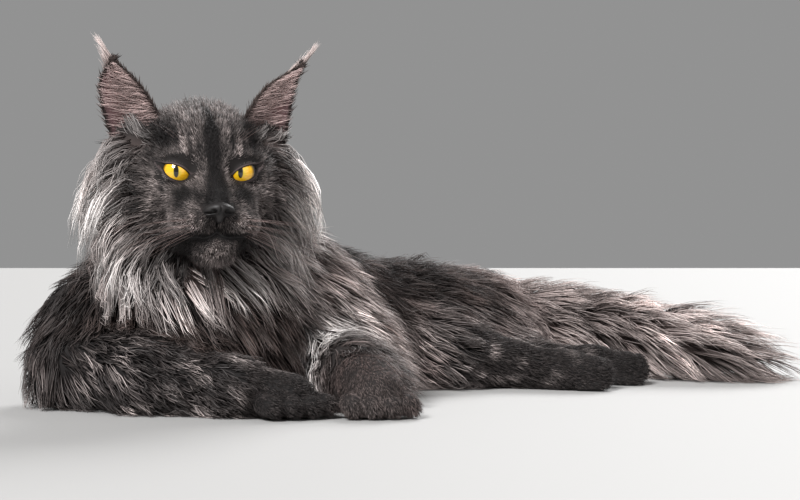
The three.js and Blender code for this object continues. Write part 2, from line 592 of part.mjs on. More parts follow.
// Each part is cut clear of the ones before it. A lock that would close over another part's tip is left out.
const closesOver = ({ path, width }, box) => {
  const centre = v(...box.min).lerp(v(...box.max), 0.5);
  return path.slice(1).some((step, i) => {
    const nearest = new THREE.Line3(path[i].at, step.at).closestPointToPoint(centre, true, v(0, 0, 0));
    return nearest.distanceTo(centre) < width * 0.6;
  });
};
function carved(part, growths, others) {
  let shape = joined([part.flesh(0), ...growths(0)]).intersect(aboveFloor);
  for (const other of others) shape = shape.subtract(other);
  return solid(geometryOf(shape), 1e-3).decompose();
}
const largest = (pieces) => pieces.reduce((best, piece) => (piece.volume() > best.volume() ? piece : best));
const cat = new THREE.Group();
const taken = [];
for (const part of parts) {
  const growths = (margin) => [
    ...coatSolids(part.name)(margin),
    ...(pawToes[part.name]?.(margin) ?? []),
  ];
  let pieces = carved(part, growths, taken);
  for (let pass = 0; pass < 6; pass++) {
    const sealed = pieces.filter((piece) => piece.volume() < 0).map((piece) => piece.boundingBox());
    if (!sealed.length) break;
    coat[part.name] = coat[part.name].filter((made) => sealed.every((box) => !closesOver(made, box)));
    pieces = carved(part, growths, taken);
  }
  let shape = largest(pieces);
  for (let pass = 0; pass < 3; pass++) shape = largest(solid(geometryOf(shape), 1e-3).decompose());
  taken.push(joined([part.flesh(GAP), ...growths(GAP)]), shape);
  const look = { color: part.colour, roughness: part.roughness, metalness: 0 };
  const mesh = new THREE.Mesh(geometryOf(shape), new THREE.MeshStandardMaterial(look));
  mesh.name = part.name;
  cat.add(mesh);
}

export default cat;
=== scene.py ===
"""A life-size maine coon cat, lying with its head up: one skin, eyes, nose and a coat of fine tufts."""
import math

import bpy
import numpy as np
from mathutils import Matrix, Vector, kdtree


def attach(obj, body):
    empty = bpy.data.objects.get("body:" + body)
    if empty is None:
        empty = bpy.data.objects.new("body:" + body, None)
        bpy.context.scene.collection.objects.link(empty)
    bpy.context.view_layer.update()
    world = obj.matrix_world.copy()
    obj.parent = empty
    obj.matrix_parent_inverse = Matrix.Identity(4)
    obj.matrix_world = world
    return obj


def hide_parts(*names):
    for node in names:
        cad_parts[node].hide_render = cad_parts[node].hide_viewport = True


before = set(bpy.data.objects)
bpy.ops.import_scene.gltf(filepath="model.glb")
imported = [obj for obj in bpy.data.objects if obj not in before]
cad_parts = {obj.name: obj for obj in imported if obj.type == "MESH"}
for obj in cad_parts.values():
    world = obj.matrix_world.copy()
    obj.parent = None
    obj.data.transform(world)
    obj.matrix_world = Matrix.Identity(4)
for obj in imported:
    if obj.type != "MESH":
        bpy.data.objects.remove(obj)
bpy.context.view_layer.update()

# Driving sizes, in millimetres
SEED = 11
VOXEL = 2.3
SKIN_INSET = 2.2  # how far the skin lies under the part's own surface
EYE_RADIUS = 11.4
EYE_SETBACK = 9.4
EYE_SPACING = 45.6
EYE_OPENING = (9.8, 5.6)  # half width and half height
IRIS_RADIUS = 9.6
MM = 0.001

rng = np.random.default_rng(SEED)


def vec(*xyz):
    return np.array(xyz, dtype=np.float64)


def unit(v):
    return v / np.maximum(np.linalg.norm(v, axis=-1, keepdims=True), 1e-9)


def mix(a, b, t):
    return a + (b - a) * t


def ramp(x, low, high):
    """0 below low, 1 above high, smooth between them."""
    t = np.clip((x - low) / (high - low), 0, 1)
    return t * t * (3 - 2 * t)


# The head's own frame: forwards, to the cat's left, up
EYES = vec(-58, -185, 172)
GAZE = vec(0.08, -1, -0.02)
TURN = math.radians(16)
FORWARD = vec(math.sin(TURN), -math.cos(TURN), 0)
LEFT = vec(math.cos(TURN), math.sin(TURN), 0)
UP = vec(0, 0, 1)
HEAD_AXES = np.stack([FORWARD, LEFT, UP])
DOWN = vec(0, 0, -1)
FACE_MIDDLE = vec(36, 0, -22)  # where the face's hair parts, in the head's frame


def at_head(forward, left, up):
    return EYES + forward * FORWARD + left * LEFT + up * UP


def to_head(points):
    return (points - EYES) @ HEAD_AXES.T


# Masses of the body: round cones between two balls, and ellipsoids along the head's frame
def cone(a, b, r0, r1):
    return ("cone", vec(*a), vec(*b), float(r0), float(r1))


def egg(centre, radii):
    return ("egg", at_head(*centre), vec(*radii))


def chain(*joints):
    return [cone(a[:3], b[:3], a[3], b[3]) for a, b in zip(joints, joints[1:])]


def mirrored(make):
    return [make(-1), make(1)]


CHEST = vec(-75, -102, 68)
NAPE = at_head(-62, 0, -26)
THROAT = vec(-79, -108, 112)
WITHERS = vec(-64, -76, 90)
HEAD_MASSES = [
    egg((-46, 0, 11), (47, 44, 40)),
    egg((-20, 0, 13), (24, 32, 25)),
    *mirrored(lambda s: egg((-30, 31 * s, -17), (26, 19, 22))),
    cone(at_head(-12, 0, -2), at_head(24, 0, -21), 17, 10.5),
    *mirrored(lambda s: egg((0, 18 * s, -22), (20, 14, 13))),
    *mirrored(lambda s: egg((15, 16 * s, -36), (20, 16.5, 13))),
    *mirrored(lambda s: egg((-10, 22 * s, 11.5), (13, 14, 6.5))),
    *mirrored(lambda s: egg((-8, 25 * s, -13.5), (13, 13, 7))),
    *mirrored(lambda s: egg((-17, 36 * s, 1), (13, 9, 12))),
    *mirrored(lambda s: egg((-50, 48 * s, 16), (17, 15, 21))),
    egg((15, 0, -54), (14, 16.5, 10)),
    *mirrored(lambda s: cone(at_head(6, 8 * s, -48), at_head(-42, 26 * s, -36), 12, 17)),
    egg((29.5, 0, -27), (8.5, 9.5, 6.5)),
]
BODIES = {  # how softly the masses of each run into each other, and the masses
    "head": (11, HEAD_MASSES),
    "neck": (24, [cone(NAPE, THROAT, 36, 46), cone(THROAT, WITHERS, 46, 52)]),
    "torso": (30, chain((-75, -102, 68, 65), (-25, -30, 62, 64), (25, 30, 50, 53), (75, 80, 48, 49),
                        (128, 128, 46, 45), (160, 165, 43, 37))),
    "shoulder_right": (12, chain((-128, -78, 92, 36), (-160, -96, 60, 34), (-172, -118, 30, 28))),
    "forearm_right": (12, chain((-172, -118, 29, 27), (-108, -166, 26, 26), (-44, -190, 20, 20),
                                (-2, -200, 15, 18))),
    "shoulder_left": (12, chain((2, -80, 84, 36), (24, -88, 52, 31), (34, -108, 30, 27))),
    "forearm_left": (12, chain((34, -108, 30, 27), (42, -146, 24, 24), (52, -176, 19, 21),
                               (61, -196, 15, 20))),
    "haunch_left": (12, chain((128, 108, 48, 42), (98, 70, 48, 40), (82, 40, 40, 34))),
    "shank_left": (12, chain((84, 40, 32, 30), (118, 34, 30, 27), (168, 40, 20, 19), (212, 24, 15, 17),
                             (232, 16, 14, 16))),
    "haunch_right": (12, chain((150, 142, 36, 34), (120, 110, 28, 30))),
    "shank_right": (12, chain((124, 104, 24, 26), (190, 92, 18, 18), (240, 78, 15, 17), (268, 70, 14, 16))),
    "tail": (14, chain((150, 165, 49, 30), (180, 190, 49, 28), (222, 192, 48, 26), (268, 168, 43, 23),
                       (312, 134, 35, 21), (346, 118, 28, 18), (370, 112, 20, 12))),
}
NAMES = list(BODIES)
PAWS = [  # where the toes start, the way they point, the way they spread, radius, spacing
    (vec(5, -213, 10), vec(0.5, -0.85, -0.05), vec(0.87, 0.42, 0), 9, 13.5),
    (vec(62, -210, 10), vec(0.2, -0.97, -0.05), vec(0.97, 0.2, 0), 9, 13.5),
    (vec(240, 14, 12), vec(0.95, -0.3, 0), vec(0.2, 0.6, 0.55), 8, 8.2),
    (vec(276, 67, 12), vec(0.95, -0.3, 0), vec(0.2, 0.6, 0.55), 8, 8.2),
]
TOE_LENGTH = 13


def toes(paw, ahead, across, radius, spacing):
    ahead, across = unit(ahead), unit(across)
    out = []
    for k in (-1.5, -0.5, 0.5, 1.5):
        middle = paw + across * k * spacing + ahead * ((1.5 - abs(k)) * 3.5 - TOE_LENGTH / 2)
        out.append(cone(middle - ahead * TOE_LENGTH / 2, middle + ahead * TOE_LENGTH / 2, radius, radius))
    return out


TOES = [toe for paw in PAWS for toe in toes(*paw)]


def mass_distance(points, mass):
    if mass[0] == "cone":
        _, a, b, r0, r1 = mass
        along = b - a
        t = np.clip(((points - a) @ along) / (along @ along), 0, 1)
        return np.linalg.norm(points - a - t[:, None] * along, axis=1) - (r0 + (r1 - r0) * t)
    q = ((points - mass[1]) @ HEAD_AXES.T) / mass[2]
    near = np.linalg.norm(q, axis=1)
    far = np.linalg.norm(q / mass[2], axis=1)
    return near * (near - 1) / np.maximum(far, 1e-6)


def blended(a, b, width):
    h = np.maximum(width - np.abs(a - b), 0) / width
    return np.minimum(a, b) - h * h * width / 4


def group_distance(points, width, masses):
    d = mass_distance(points, masses[0])
    for mass in masses[1:]:
        d = blended(d, mass_distance(points, mass), width)
    return d


def body_distances(points):
    return np.stack([group_distance(points, *BODIES[name]) for name in NAMES], axis=1)


def distance(points):
    """How far each point is outside the skin."""
    points = np.asarray(points, dtype=np.float64)
    all_bodies = body_distances(points)
    d = all_bodies[:, 0]
    for i in range(1, len(NAMES)):
        d = blended(d, all_bodies[:, i], 12)
    toes = group_distance(points, 2.5, TOES)
    return blended(d, toes, 3) + SKIN_INSET


def gradient(points, d, step=0.6):
    """Away from the skin at points whose distance is d."""
    out = np.empty_like(points)
    for k in range(3):
        moved = points.copy()
        moved[:, k] += step
        out[:, k] = distance(moved) - d
    return unit(out)


def steps_along(count):
    """From 0 at the root of a tuft to 1 at its tip."""
    return np.linspace(0, 1, count)[None, :, None]


# Mesh helpers
def side_name(s):
    return "left" if s > 0 else "right"


def shade_smooth(mesh):
    mesh.polygons.foreach_set("use_smooth", np.ones(len(mesh.polygons), dtype=bool))


def linked(name, data):
    obj = bpy.data.objects.new(name, data)
    bpy.context.scene.collection.objects.link(obj)
    return obj


def mesh_object(name, points, faces):
    mesh = bpy.data.meshes.new(name)
    mesh.from_pydata([tuple(p) for p in np.asarray(points) * MM], [], [tuple(f) for f in faces])
    mesh.update()
    shade_smooth(mesh)
    return linked(name, mesh)


def sphere(name, segments, rings, radius):
    bpy.ops.mesh.primitive_uv_sphere_add(segments=segments, ring_count=rings, radius=radius * MM)
    obj = bpy.context.active_object
    obj.name = name
    shade_smooth(obj.data)
    return obj


def active(obj):
    bpy.ops.object.select_all(action="DESELECT")
    obj.select_set(True)
    bpy.context.view_layer.objects.active = obj


def values_of(items, name, count, kind):
    out = np.empty(len(items) * count, dtype=kind)
    items.foreach_get(name, out)
    return out.reshape(-1, count)


def points_of(obj):
    return values_of(obj.data.vertices, "co", 3, np.float64) / MM


def set_points(obj, points):
    obj.data.vertices.foreach_set("co", (points * MM).ravel())
    obj.data.update()


def unwrap_of(mesh):
    return values_of(mesh.uv_layers["OFBake"].data, "uv", 2, np.float32)


def unwrap_places(mesh):
    """Where each vertex lies on the unwrap."""
    out = np.zeros((len(mesh.vertices), 2))
    out[values_of(mesh.loops, "vertex_index", 1, np.int32)[:, 0]] = unwrap_of(mesh)
    return out


def tree_of(points):
    tree = kdtree.KDTree(len(points))
    for i, point in enumerate(points):
        tree.insert(point, i)
    tree.balance()
    return tree


def nearest(tree, points):
    return np.array([tree.find(p)[1] for p in points])


def ring_faces(rings, count):
    """Quads between closed rings of count points each."""
    faces = []
    for ring in range(rings - 1):
        for i in range(count):
            a, b = ring * count + i, ring * count + (i + 1) % count
            faces.append([a, b, b + count, a + count])
    return faces


def tinted(obj, colours):
    """Gives each vertex its own colour."""
    attribute = obj.data.color_attributes.new("tint", "FLOAT_COLOR", "POINT")
    rgba = np.ones((len(obj.data.vertices), 4), dtype=np.float32)
    rgba[:, :3] = colours
    attribute.data.foreach_set("color", rgba.ravel())


# Markings: one function of place gives the colour of the coat and of the skin under it
BLACK = vec(0.010, 0.008, 0.008)
SOOT = vec(0.03, 0.024, 0.023)
BROWN = vec(0.085, 0.062, 0.056)
TAUPE = vec(0.21, 0.15, 0.138)
MAUVE = vec(0.4, 0.3, 0.282)
SILVER = vec(0.66, 0.565, 0.54)
WHITE = vec(0.93, 0.89, 0.87)
EAR_PINK = vec(0.66, 0.5, 0.48)
FACE_PATCHES = [  # to each side, up, half width, half height, and how much paler
    (18.5, 15, 3.0, 7, 0.75), (11.5, 20, 1.4, 9, 0.32), (0, 18, 5, 22, -0.4), (8, 34, 2.2, 9, 0.22),
    (16, 32, 3, 9, 0.2), (15, 18, 1.2, 9, -0.3), (22.5, 20, 1.6, 8, -0.3), (0, 42, 26, 6, 0.2),
    (33, 25, 9, 8, -0.35), (9.5, -4, 4.2, 10, 0.4), (0, -14, 6.5, 9, -0.6), (35, -12, 10, 13, 0.4),
    # (13, -45): dark fur along the mouth line, deepened by painted shadow in the lip crease
    (20, -18, 8, 5, -0.35), (16, -26, 4, 8, 0.28), (22, -36, 11, 7, 0.55), (13, -45, 12, 2.2, -0.7),
    (0, -56, 11.5, 7, 0.5), (21, -55, 6, 8, -0.6),
]


def ripple(points, scale, turn=0.0):
    """A smooth wandering value between -1 and 1."""
    x, y, z = (points / scale).T
    a = np.sin(x * 1.7 + y * 0.9 + turn) + np.sin(y * 2.1 - z * 1.3 + 1.3 * turn)
    b = np.sin(z * 1.9 + x * 0.7 - turn) + np.sin((x + y - z) * 1.1 + 2.1 * turn)
    return (a + b) / 4


def body_weights(points, softness=5.0):
    d = body_distances(points)
    w = np.exp(-(d - d.min(axis=1, keepdims=True)) / softness)
    return w / w.sum(axis=1, keepdims=True)


def spot(points, centre, size):
    return np.exp(-np.sum(((points - np.asarray(centre)) / size) ** 2, axis=1))


def tone(t, low, high):
    return mix(low, high, np.clip(t, 0, 1)[:, None])


def head_colours(points):
    """A black face with silver flecks, pale over the eyes, a grey chin, and the silver ruff behind."""
    a, b, c = to_head(points).T
    side = np.abs(b)
    face = 0.2 + 0.16 * ripple(points, 4.5)
    for left, up, wide, high, paler in FACE_PATCHES:
        face += paler * np.exp(-((side - left) / wide) ** 2 - ((c - up) / high) ** 2)
    face *= 0.8 + 0.75 * ripple(points, 1.9, 2.0)
    face_root = tone(face - 0.1, BLACK, BROWN)
    face_tip = tone(face, BLACK * 0.8, SILVER * 0.85)
    ruff_root = tone(0.25 + 0.5 * ripple(points, 17.0, 2.0), BROWN, MAUVE)
    paleness = 0.55 + 0.55 * ripple(points, 11.0, 1.0) + 0.3 * ramp(side, 38, 60)
    ruff_tip = tone(paleness, TAUPE * 0.8, WHITE)
    ruffed = (ramp(-a, 18, 42) * ramp(-c, -34, -12))[:, None]
    return {"head": (mix(face_root, ruff_root, ruffed), mix(face_tip, ruff_tip, ruffed))}


def trunk_colours(points):
    """A silver and white bib with dark streaks lower down, a dark back, pale flanks and a grey rump."""
    x, y, z = points.T
    white = spot(points, (-88, -165, 100), vec(30, 30, 14)) + 0.6 * spot(points, (-122, -160, 120), 15)
    white *= 0.75 + 0.5 * ripple(points, 7.0, 5.0)
    bib = 0.36 + 0.6 * ripple(points, 10.0, 3.0) - 0.55 * ramp(-z, -100, -64) + 0.9 * white
    bib += 0.25 * ramp(x, -70, 0)
    front = ramp(-y, 30, 75)[:, None]
    flank = (ramp(-z, -84, -50) * ramp(x, -15, 25) * (1 - ramp(x, 120, 170)))[:, None]
    rump = ramp(x + y, 190, 260)[:, None]
    back = tone(0.3 + 0.5 * ripple(points, 15.0, 4.0), SOOT, BROWN * 1.3)
    tip = mix(mix(back, flank_colour(points), flank), rump_colour(points), rump)
    root = mix(SOOT, BROWN, np.maximum(flank, rump))
    return {
        "neck": (tone(bib - 0.3, SOOT, MAUVE), tone(bib, TAUPE, WHITE)),
        "torso": (mix(root, tone(bib - 0.4, SOOT, TAUPE), front),
                  mix(tip, tone(bib - 0.2, BROWN, SILVER), front)),
    }


def flank_colour(points):
    return tone(0.62 + 0.5 * ripple(points, 12.0, 5.0), TAUPE, SILVER)


def rump_colour(points):
    return tone(0.5 + 0.5 * ripple(points, 14.0, 2.0), TAUPE, SILVER * 0.9)


def leg_colours(points):
    """Dark brown-grey above, black below with silver flecks, a pale left elbow, a grey left paw and a
    painted shadow on top of the left forearm.
    """
    y, z = points.T[1:]
    dark = tone(0.25 + 0.5 * ripple(points, 12.0, 6.0), SOOT, BROWN * 1.4)
    from_feet = np.min([np.linalg.norm(points - paw[0], axis=1) for paw in PAWS], axis=0)
    silver = 1.5 * np.maximum(ripple(points, 6.0, 7.0), 0) ** 1.8 * ramp(from_feet, 15, 60)
    flecks = tone(0.06 + silver, BLACK * 1.4, SILVER)
    elbow = spot(points, (0, -122, 52), (26, 30, 22))[:, None]
    # painted shadow: a darkened blob on top of the left forearm, just past the elbow, over both of its
    # bodies
    painted_leg_shadow = spot(points, (40, -140, 44), (16, 24, 13))[:, None]
    sleeve = tone(0.5 + 0.6 * ripple(points, 9.0), BROWN, SILVER)
    sleeve = mix(sleeve, WHITE, np.clip(elbow * 1.3, 0, 0.95))
    foot = tone(0.3 + 0.6 * ripple(points, 7.0, 8.0), SOOT, TAUPE)
    grey_foot = spot(points, (62, -215, 8), (40, 34, 30))[:, None]
    foot = mix(foot, rump_colour(points) * 0.45, grey_foot * 0.7)
    under = ramp(-z, -78, -42)[:, None]
    return {
        "shoulder_right": (SOOT, dark),
        "forearm_right": (BLACK, flecks),
        "shoulder_left": (BROWN, mix(sleeve, BLACK, painted_leg_shadow * 0.8)),
        "forearm_left": (SOOT, mix(foot, sleeve, ramp(y, -165, -125)[:, None]) * (1 - 0.75 * painted_leg_shadow)),
        "haunch_left": (SOOT, mix(dark, flank_colour(points), under * 0.85)),
        "shank_left": (BLACK, flecks),
        "haunch_right": (BROWN, dark),
        "shank_right": (BLACK, flecks * 0.8),
    }


def tail_colours(points):
    """A grey plume, paler near the rump, with a painted highlight on top, dark at its tip."""
    x = points[:, 0]
    light = 0.5 + 0.4 * ripple(points, 20.0, 9.0) + 0.2 * ramp(-x, -300, -200) - 0.5 * ramp(x, 350, 400)
    # painted highlight: a pale spot on the top of the tail
    light += 0.5 * spot(points, (330, 125, 50), (30, 30, 20))
    return {"tail": (tone(light - 0.15, SOOT, TAUPE), tone(light, BROWN * 1.2, SILVER))}


def markings(points, weights):
    """Root colour and tip colour at each point of the skin."""
    colours = head_colours(points) | trunk_colours(points) | leg_colours(points) | tail_colours(points)
    root = np.zeros_like(points)
    tip = np.zeros_like(points)
    for i, name in enumerate(NAMES):
        root += weights[:, i:i + 1] * colours[name][0]
        tip += weights[:, i:i + 1] * colours[name][1]
    return root, tip


# Which way the hair lies, how long it is and how much it stands up
def limb_axis(points, name):
    best = np.full(len(points), 1e9)
    out = np.zeros((len(points), 3))
    for mass in BODIES[name][1]:
        d = mass_distance(points, mass)
        nearer = d < best
        best = np.where(nearer, d, best)
        out[nearer] = unit(mass[2] - mass[1])
    return out


LEG_HAIR = {  # how much it lies along the limb, and which way it falls
    "shoulder_right": (0.3, vec(-0.35, 0.1, -0.9)),
    "forearm_right": (0.9, vec(0, 0, -0.3)),
    "shoulder_left": (0.2, vec(0.9, 0.1, -0.42)),
    "forearm_left": (0.5, vec(0.2, 0, -0.75)),
    "haunch_left": (0.0, vec(0.9, -0.15, -0.35)),
    "shank_left": (1.0, vec(0, 0, -0.15)),
    "haunch_right": (0.2, vec(0.8, -0.2, -0.3)),
    "shank_right": (1.0, vec(0, 0, -0.15)),
}
ELBOW_SWEEP = vec(1.1, 0.5, 0.35)  # the left elbow's hair is swept back beside the flank


def head_lie(points, t):
    """Away from the nose on the face; out, down and then in again on the ruff."""
    h = to_head(points)
    a, b, c = h.T
    side = np.sign(b) * ramp(np.abs(b), 4, 30)
    away = unit(h - FACE_MIDDLE) @ HEAD_AXES
    out_then_in = side * mix(1.25, -0.45, t) * mix(1, 0.45, ramp(c, 0, 25))
    ruff = np.stack([-0.1 + 0 * a, out_then_in, mix(-0.35, -1.1, t) + 0 * a], axis=1) @ HEAD_AXES
    ruffed = (ramp(-a, 14, 40) * ramp(-c, -36, -14))[:, None]
    return mix(away, unit(ruff), ruffed)


def torso_lie(points, normals):
    """Down over the chest, back and down over the flanks."""
    chest = unit(unit((points - CHEST) * vec(1, 1, 0)) * 0.35 + vec(0.6, 0, -1))
    sag = DOWN * (0.75 * (1 - np.abs(normals[:, 2:3])))
    flank = unit(limb_axis(points, "torso") + sag + vec(0.12, -0.12, 0))
    return mix(flank, chest, ramp(-points[:, 1], 30, 75)[:, None])


def lie(points, normals, weights, t):
    """The direction of the hair at each point, t along its length."""
    out = weights[:, :1] * head_lie(points, t)
    from_neck = unit((points - vec(-78, -112, 0)) * vec(1, 1, 0))
    out += weights[:, 1:2] * unit(from_neck * (1.25 - 1.25 * t) + 0.6 * DOWN + vec(0.7, 0, 0))
    out += weights[:, 2:3] * torso_lie(points, normals)
    for name, (along, fall) in LEG_HAIR.items():
        w = weights[:, NAMES.index(name)][:, None]
        if name == "forearm_left":
            fall = fall + ramp(points[:, 1], -168, -135)[:, None] * ELBOW_SWEEP
        out += w * unit(limb_axis(points, name) * along + fall)
    plume = unit(limb_axis(points, "tail") + 0.3 * normals + vec(0.12, -0.08, 0))
    return unit(out + weights[:, -1:] * plume)


def hair_length(points, weights):
    """How long the hair is at each point of the skin."""
    a, b, c = to_head(points).T
    x, y, z = points.T
    face = 4.6 + 6 * ramp(-a, 0, 30) + 4 * ramp(np.abs(b), 30, 46) - 1.8 * ramp(a, 6, 24)
    face += 3 * ramp(-c, 56, 62)
    face = np.where(c > 24, 7.5 + 4 * ramp(-a, 16, 50), face)
    flank = mix(mix(34, 44, ramp(-z, -70, -35)), 50, ramp(-y, 30, 75))
    table = {
        "head": mix(face, 76, ramp(-a, 14, 42) * ramp(-c, -34, -6)),
        "neck": 68 - 36 * ramp(y, -100, -55),
        "torso": flank + 8 * ramp(x + y, 215, 285),
        "shoulder_right": 32,
        "forearm_right": 18 + 18 * ramp(-x, 90, 150),
        "shoulder_left": 40,
        "forearm_left": 9 + 30 * ramp(y, -178, -135),
        "haunch_left": 42,
        "shank_left": 11 + 22 * ramp(-x, -150, -100),
        "haunch_right": 36,
        "shank_right": 12,
        "tail": 54 + 10 * ramp(x, 300, 360),
    }
    out = sum(weights[:, i] * table[name] for i, name in enumerate(NAMES))
    for paw, *_ in PAWS:
        near = 1 - ramp(np.linalg.norm(points - paw, axis=1), 24, 58)
        out = mix(out, np.minimum(out, 5), near)
    return out


def hair_depth(length):
    """How far the tips stand off the skin."""
    return np.interp(length, [0, 6, 14, 30, 50, 65], [0.8, 1.6, 3.2, 9, 17, 21])


# Skin: balls along every mass, joined by a voxel remesh, then drawn onto the blended surface
def ball_template():
    bpy.ops.mesh.primitive_ico_sphere_add(subdivisions=3, radius=1)
    ball = bpy.context.active_object
    points = np.array([v.co[:] for v in ball.data.vertices])
    faces = np.array([p.vertices[:] for p in ball.data.polygons])
    bpy.data.objects.remove(ball)
    return points, faces


def hollow_behind_lids(points, s):
    """Sinks the skin under the eyeball where the lids open."""
    x, y, z = to_eye(points, s)
    opening = np.hypot(x / (EYE_OPENING[0] * 1.35), y / (EYE_OPENING[1] * 1.45))
    inside = (opening < 1) & (z > 0) & (z < 24)
    inward = unit(points[inside] - eye_centre(s))
    points[inside] = eye_centre(s) + inward * (EYE_RADIUS - SKIN_INSET)


def build_skin():
    ball, ball_faces = ball_template()
    balls = []
    for _, masses in list(BODIES.values()) + [(0, TOES)]:
        for mass in masses:
            if mass[0] == "egg":
                balls.append((ball * (mass[2] - SKIN_INSET)) @ HEAD_AXES + mass[1])
                continue
            _, a, b, r0, r1 = mass
            steps = max(2, int(np.linalg.norm(b - a) / (0.12 * min(r0, r1))) + 1)
            for t in np.linspace(0, 1, steps):
                balls.append(ball * (mix(r0, r1, t) - SKIN_INSET) + mix(a, b, t))
    faces = np.concatenate([ball_faces + i * len(ball) for i in range(len(balls))])
    skin = mesh_object("skin", np.concatenate(balls), faces)
    active(skin)
    remesh = skin.modifiers.new("join", "REMESH")
    remesh.mode = "VOXEL"
    remesh.voxel_size = VOXEL * MM
    bpy.ops.object.modifier_apply(modifier=remesh.name)
    points = points_of(skin)
    for _ in range(4):
        d = distance(points)
        points -= gradient(points, d) * np.clip(d, -3, 3)[:, None]
    set_points(skin, points)
    smooth = skin.modifiers.new("even", "SMOOTH")
    smooth.factor = 0.5
    smooth.iterations = 3
    bpy.ops.object.modifier_apply(modifier=smooth.name)
    points = points_of(skin)
    d = distance(points)
    points -= gradient(points, d) * np.clip(d, -2, 2)[:, None]
    for s in (1, -1):
        hollow_behind_lids(points, s)
    points[:, 2] = np.maximum(points[:, 2], 0.4)
    set_points(skin, points)
    shade_smooth(skin.data)
    return skin


# Lines on the face, as places to the cat's left and up from the eyes
def curve_through(points, count):
    points = np.array(points, dtype=float)
    s = np.concatenate([[0], np.cumsum(np.linalg.norm(np.diff(points, axis=0), axis=1))])
    t = np.linspace(0, s[-1], count)
    line = np.column_stack([np.interp(t, s, points[:, k]) for k in range(2)])
    for _ in range(4):
        line[1:-1] = (line[:-2] + 2 * line[1:-1] + line[2:]) / 4
    return line


HALF_MOUTH = [(26, -49), (21, -46), (15, -45.5), (9, -46.5), (4, -45.5)]
MOUTH_LINE = curve_through([(-b, c) for b, c in HALF_MOUTH] + [(0, -42)] + HALF_MOUTH[::-1], 90)
PHILTRUM_LINE = curve_through([(0, -34), (0, -38), (0, -43)], 16)


# Eyes and lids
def eye_centre(s):
    return at_head(-EYE_SETBACK, s * EYE_SPACING / 2, 0)


def eye_frame(s):
    """Rows: outwards, up and along the gaze."""
    gaze = unit(FORWARD + 0.28 * s * LEFT - 0.02 * UP)
    out = unit(LEFT * s - gaze * (LEFT @ gaze) * s)
    up = unit(UP - gaze * (UP @ gaze))
    return np.stack([out, up, gaze])


def to_eye(points, s):
    return ((points - eye_centre(s)) @ eye_frame(s).T).T


INNER_CORNER = (-10.2, -4.0)


def opening_outline(count):
    """The eye's opening seen from the front: a low inner corner, a flat upper lid, a round lower one."""
    curves = [
        (INNER_CORNER, (-8.0, 2.4), (0.0, 4.5)),
        ((0.0, 4.5), (5.4, 6.0), (9.4, 4.8)),
        ((9.4, 4.8), (8.0, -2.2), (1.0, -5.0)),
        ((1.0, -5.0), (-5.4, -7.6), INNER_CORNER),
    ]
    out = []
    for (p0, p1, p2), share in zip(curves, (0.25, 0.22, 0.27, 0.26)):
        t = np.linspace(0, 1, int(count * share), endpoint=False)[:, None]
        out.append((1 - t) ** 2 * np.array(p0) + 2 * t * (1 - t) * np.array(p1) + t * t * np.array(p2))
    return np.concatenate(out)


def march_out(origin, rays, start=4.0, reach=40.0):
    """How far along each ray the skin's surface is."""
    t = np.full(len(rays), start)
    for _ in range(40):
        d = distance(origin + rays * t[:, None])
        t = np.clip(t - np.clip(d, -4, 4) * 0.8, start, reach)
    return t


def build_eye(s):
    eye = sphere("eye_" + side_name(s) + "_ball", 128, 96, EYE_RADIUS)
    local = points_of(eye)
    x, y, z = local.T
    r = np.hypot(x, y)
    ahead = z > 0
    pupil = np.hypot(x / 1.75, (y - 0.3) / 4.3)
    angle = np.arctan2(y, x)
    rays = 0.5 + 0.5 * np.sin(angle * 47 + 2.0 * np.sin(angle * 9)) * np.sin(angle * 23 + r)
    iris = mix(vec(0.8, 0.36, 0.004), vec(0.95, 0.58, 0.02), rays[:, None])
    iris = mix(iris, iris * vec(0.75, 0.95, 1.0), ramp(-r, -5.0, -2.5)[:, None])
    iris = mix(iris, iris * 0.22, ramp(r, IRIS_RADIUS - 2.0, IRIS_RADIUS - 0.2)[:, None])
    colour = mix(iris, vec(0.01, 0.008, 0.008), ramp(r, IRIS_RADIUS - 0.35, IRIS_RADIUS + 0.2)[:, None])
    colour = mix(vec(0.001, 0.001, 0.001), colour, ramp(pupil, 0.9, 1.1)[:, None])
    colour = np.where(ahead[:, None], colour, vec(0.03, 0.02, 0.02))
    bulge = 1 + 0.045 * np.where(ahead, 1 - ramp(r, 0, 9.5), 0)
    gaze = unit(GAZE)
    across = unit(np.cross(UP, gaze))
    axes = np.stack([across, np.cross(gaze, across), gaze])
    set_points(eye, (local * bulge[:, None]) @ axes + eye_centre(s))
    tinted(eye, colour)
    return eye


LID_ROWS = (0.965, 0.985, 1.03, 1.08, 1.15, 1.28, 1.5, 1.8, 2.2, 2.7, 3.3)
LID_LIFT = (-0.6, 0.25, 0.8, 1.05, 1.1, 1.1, 1.05, 1.0, 0.9, 0.8, 0.7)
LID_MEETS_SKIN = 4.0  # width of the fillet between the lids and the skin round them


def lid_points(s, outline, stretch):
    """The opening's outline, stretched: first over the eyeball and then on the skin."""
    centre = eye_centre(s)
    ahead = np.sqrt(EYE_RADIUS ** 2 - (outline ** 2).sum(axis=1))
    rays = unit(np.column_stack([outline * stretch[:, None], ahead]) @ eye_frame(s))
    near = EYE_RADIUS + np.interp(stretch, LID_ROWS, LID_LIFT)
    far = march_out(centre, rays) + 0.3
    reach = mix(near, -blended(-near, -far, LID_MEETS_SKIN), ramp(stretch, 1.03, 1.2))
    return centre + rays * reach[:, None]


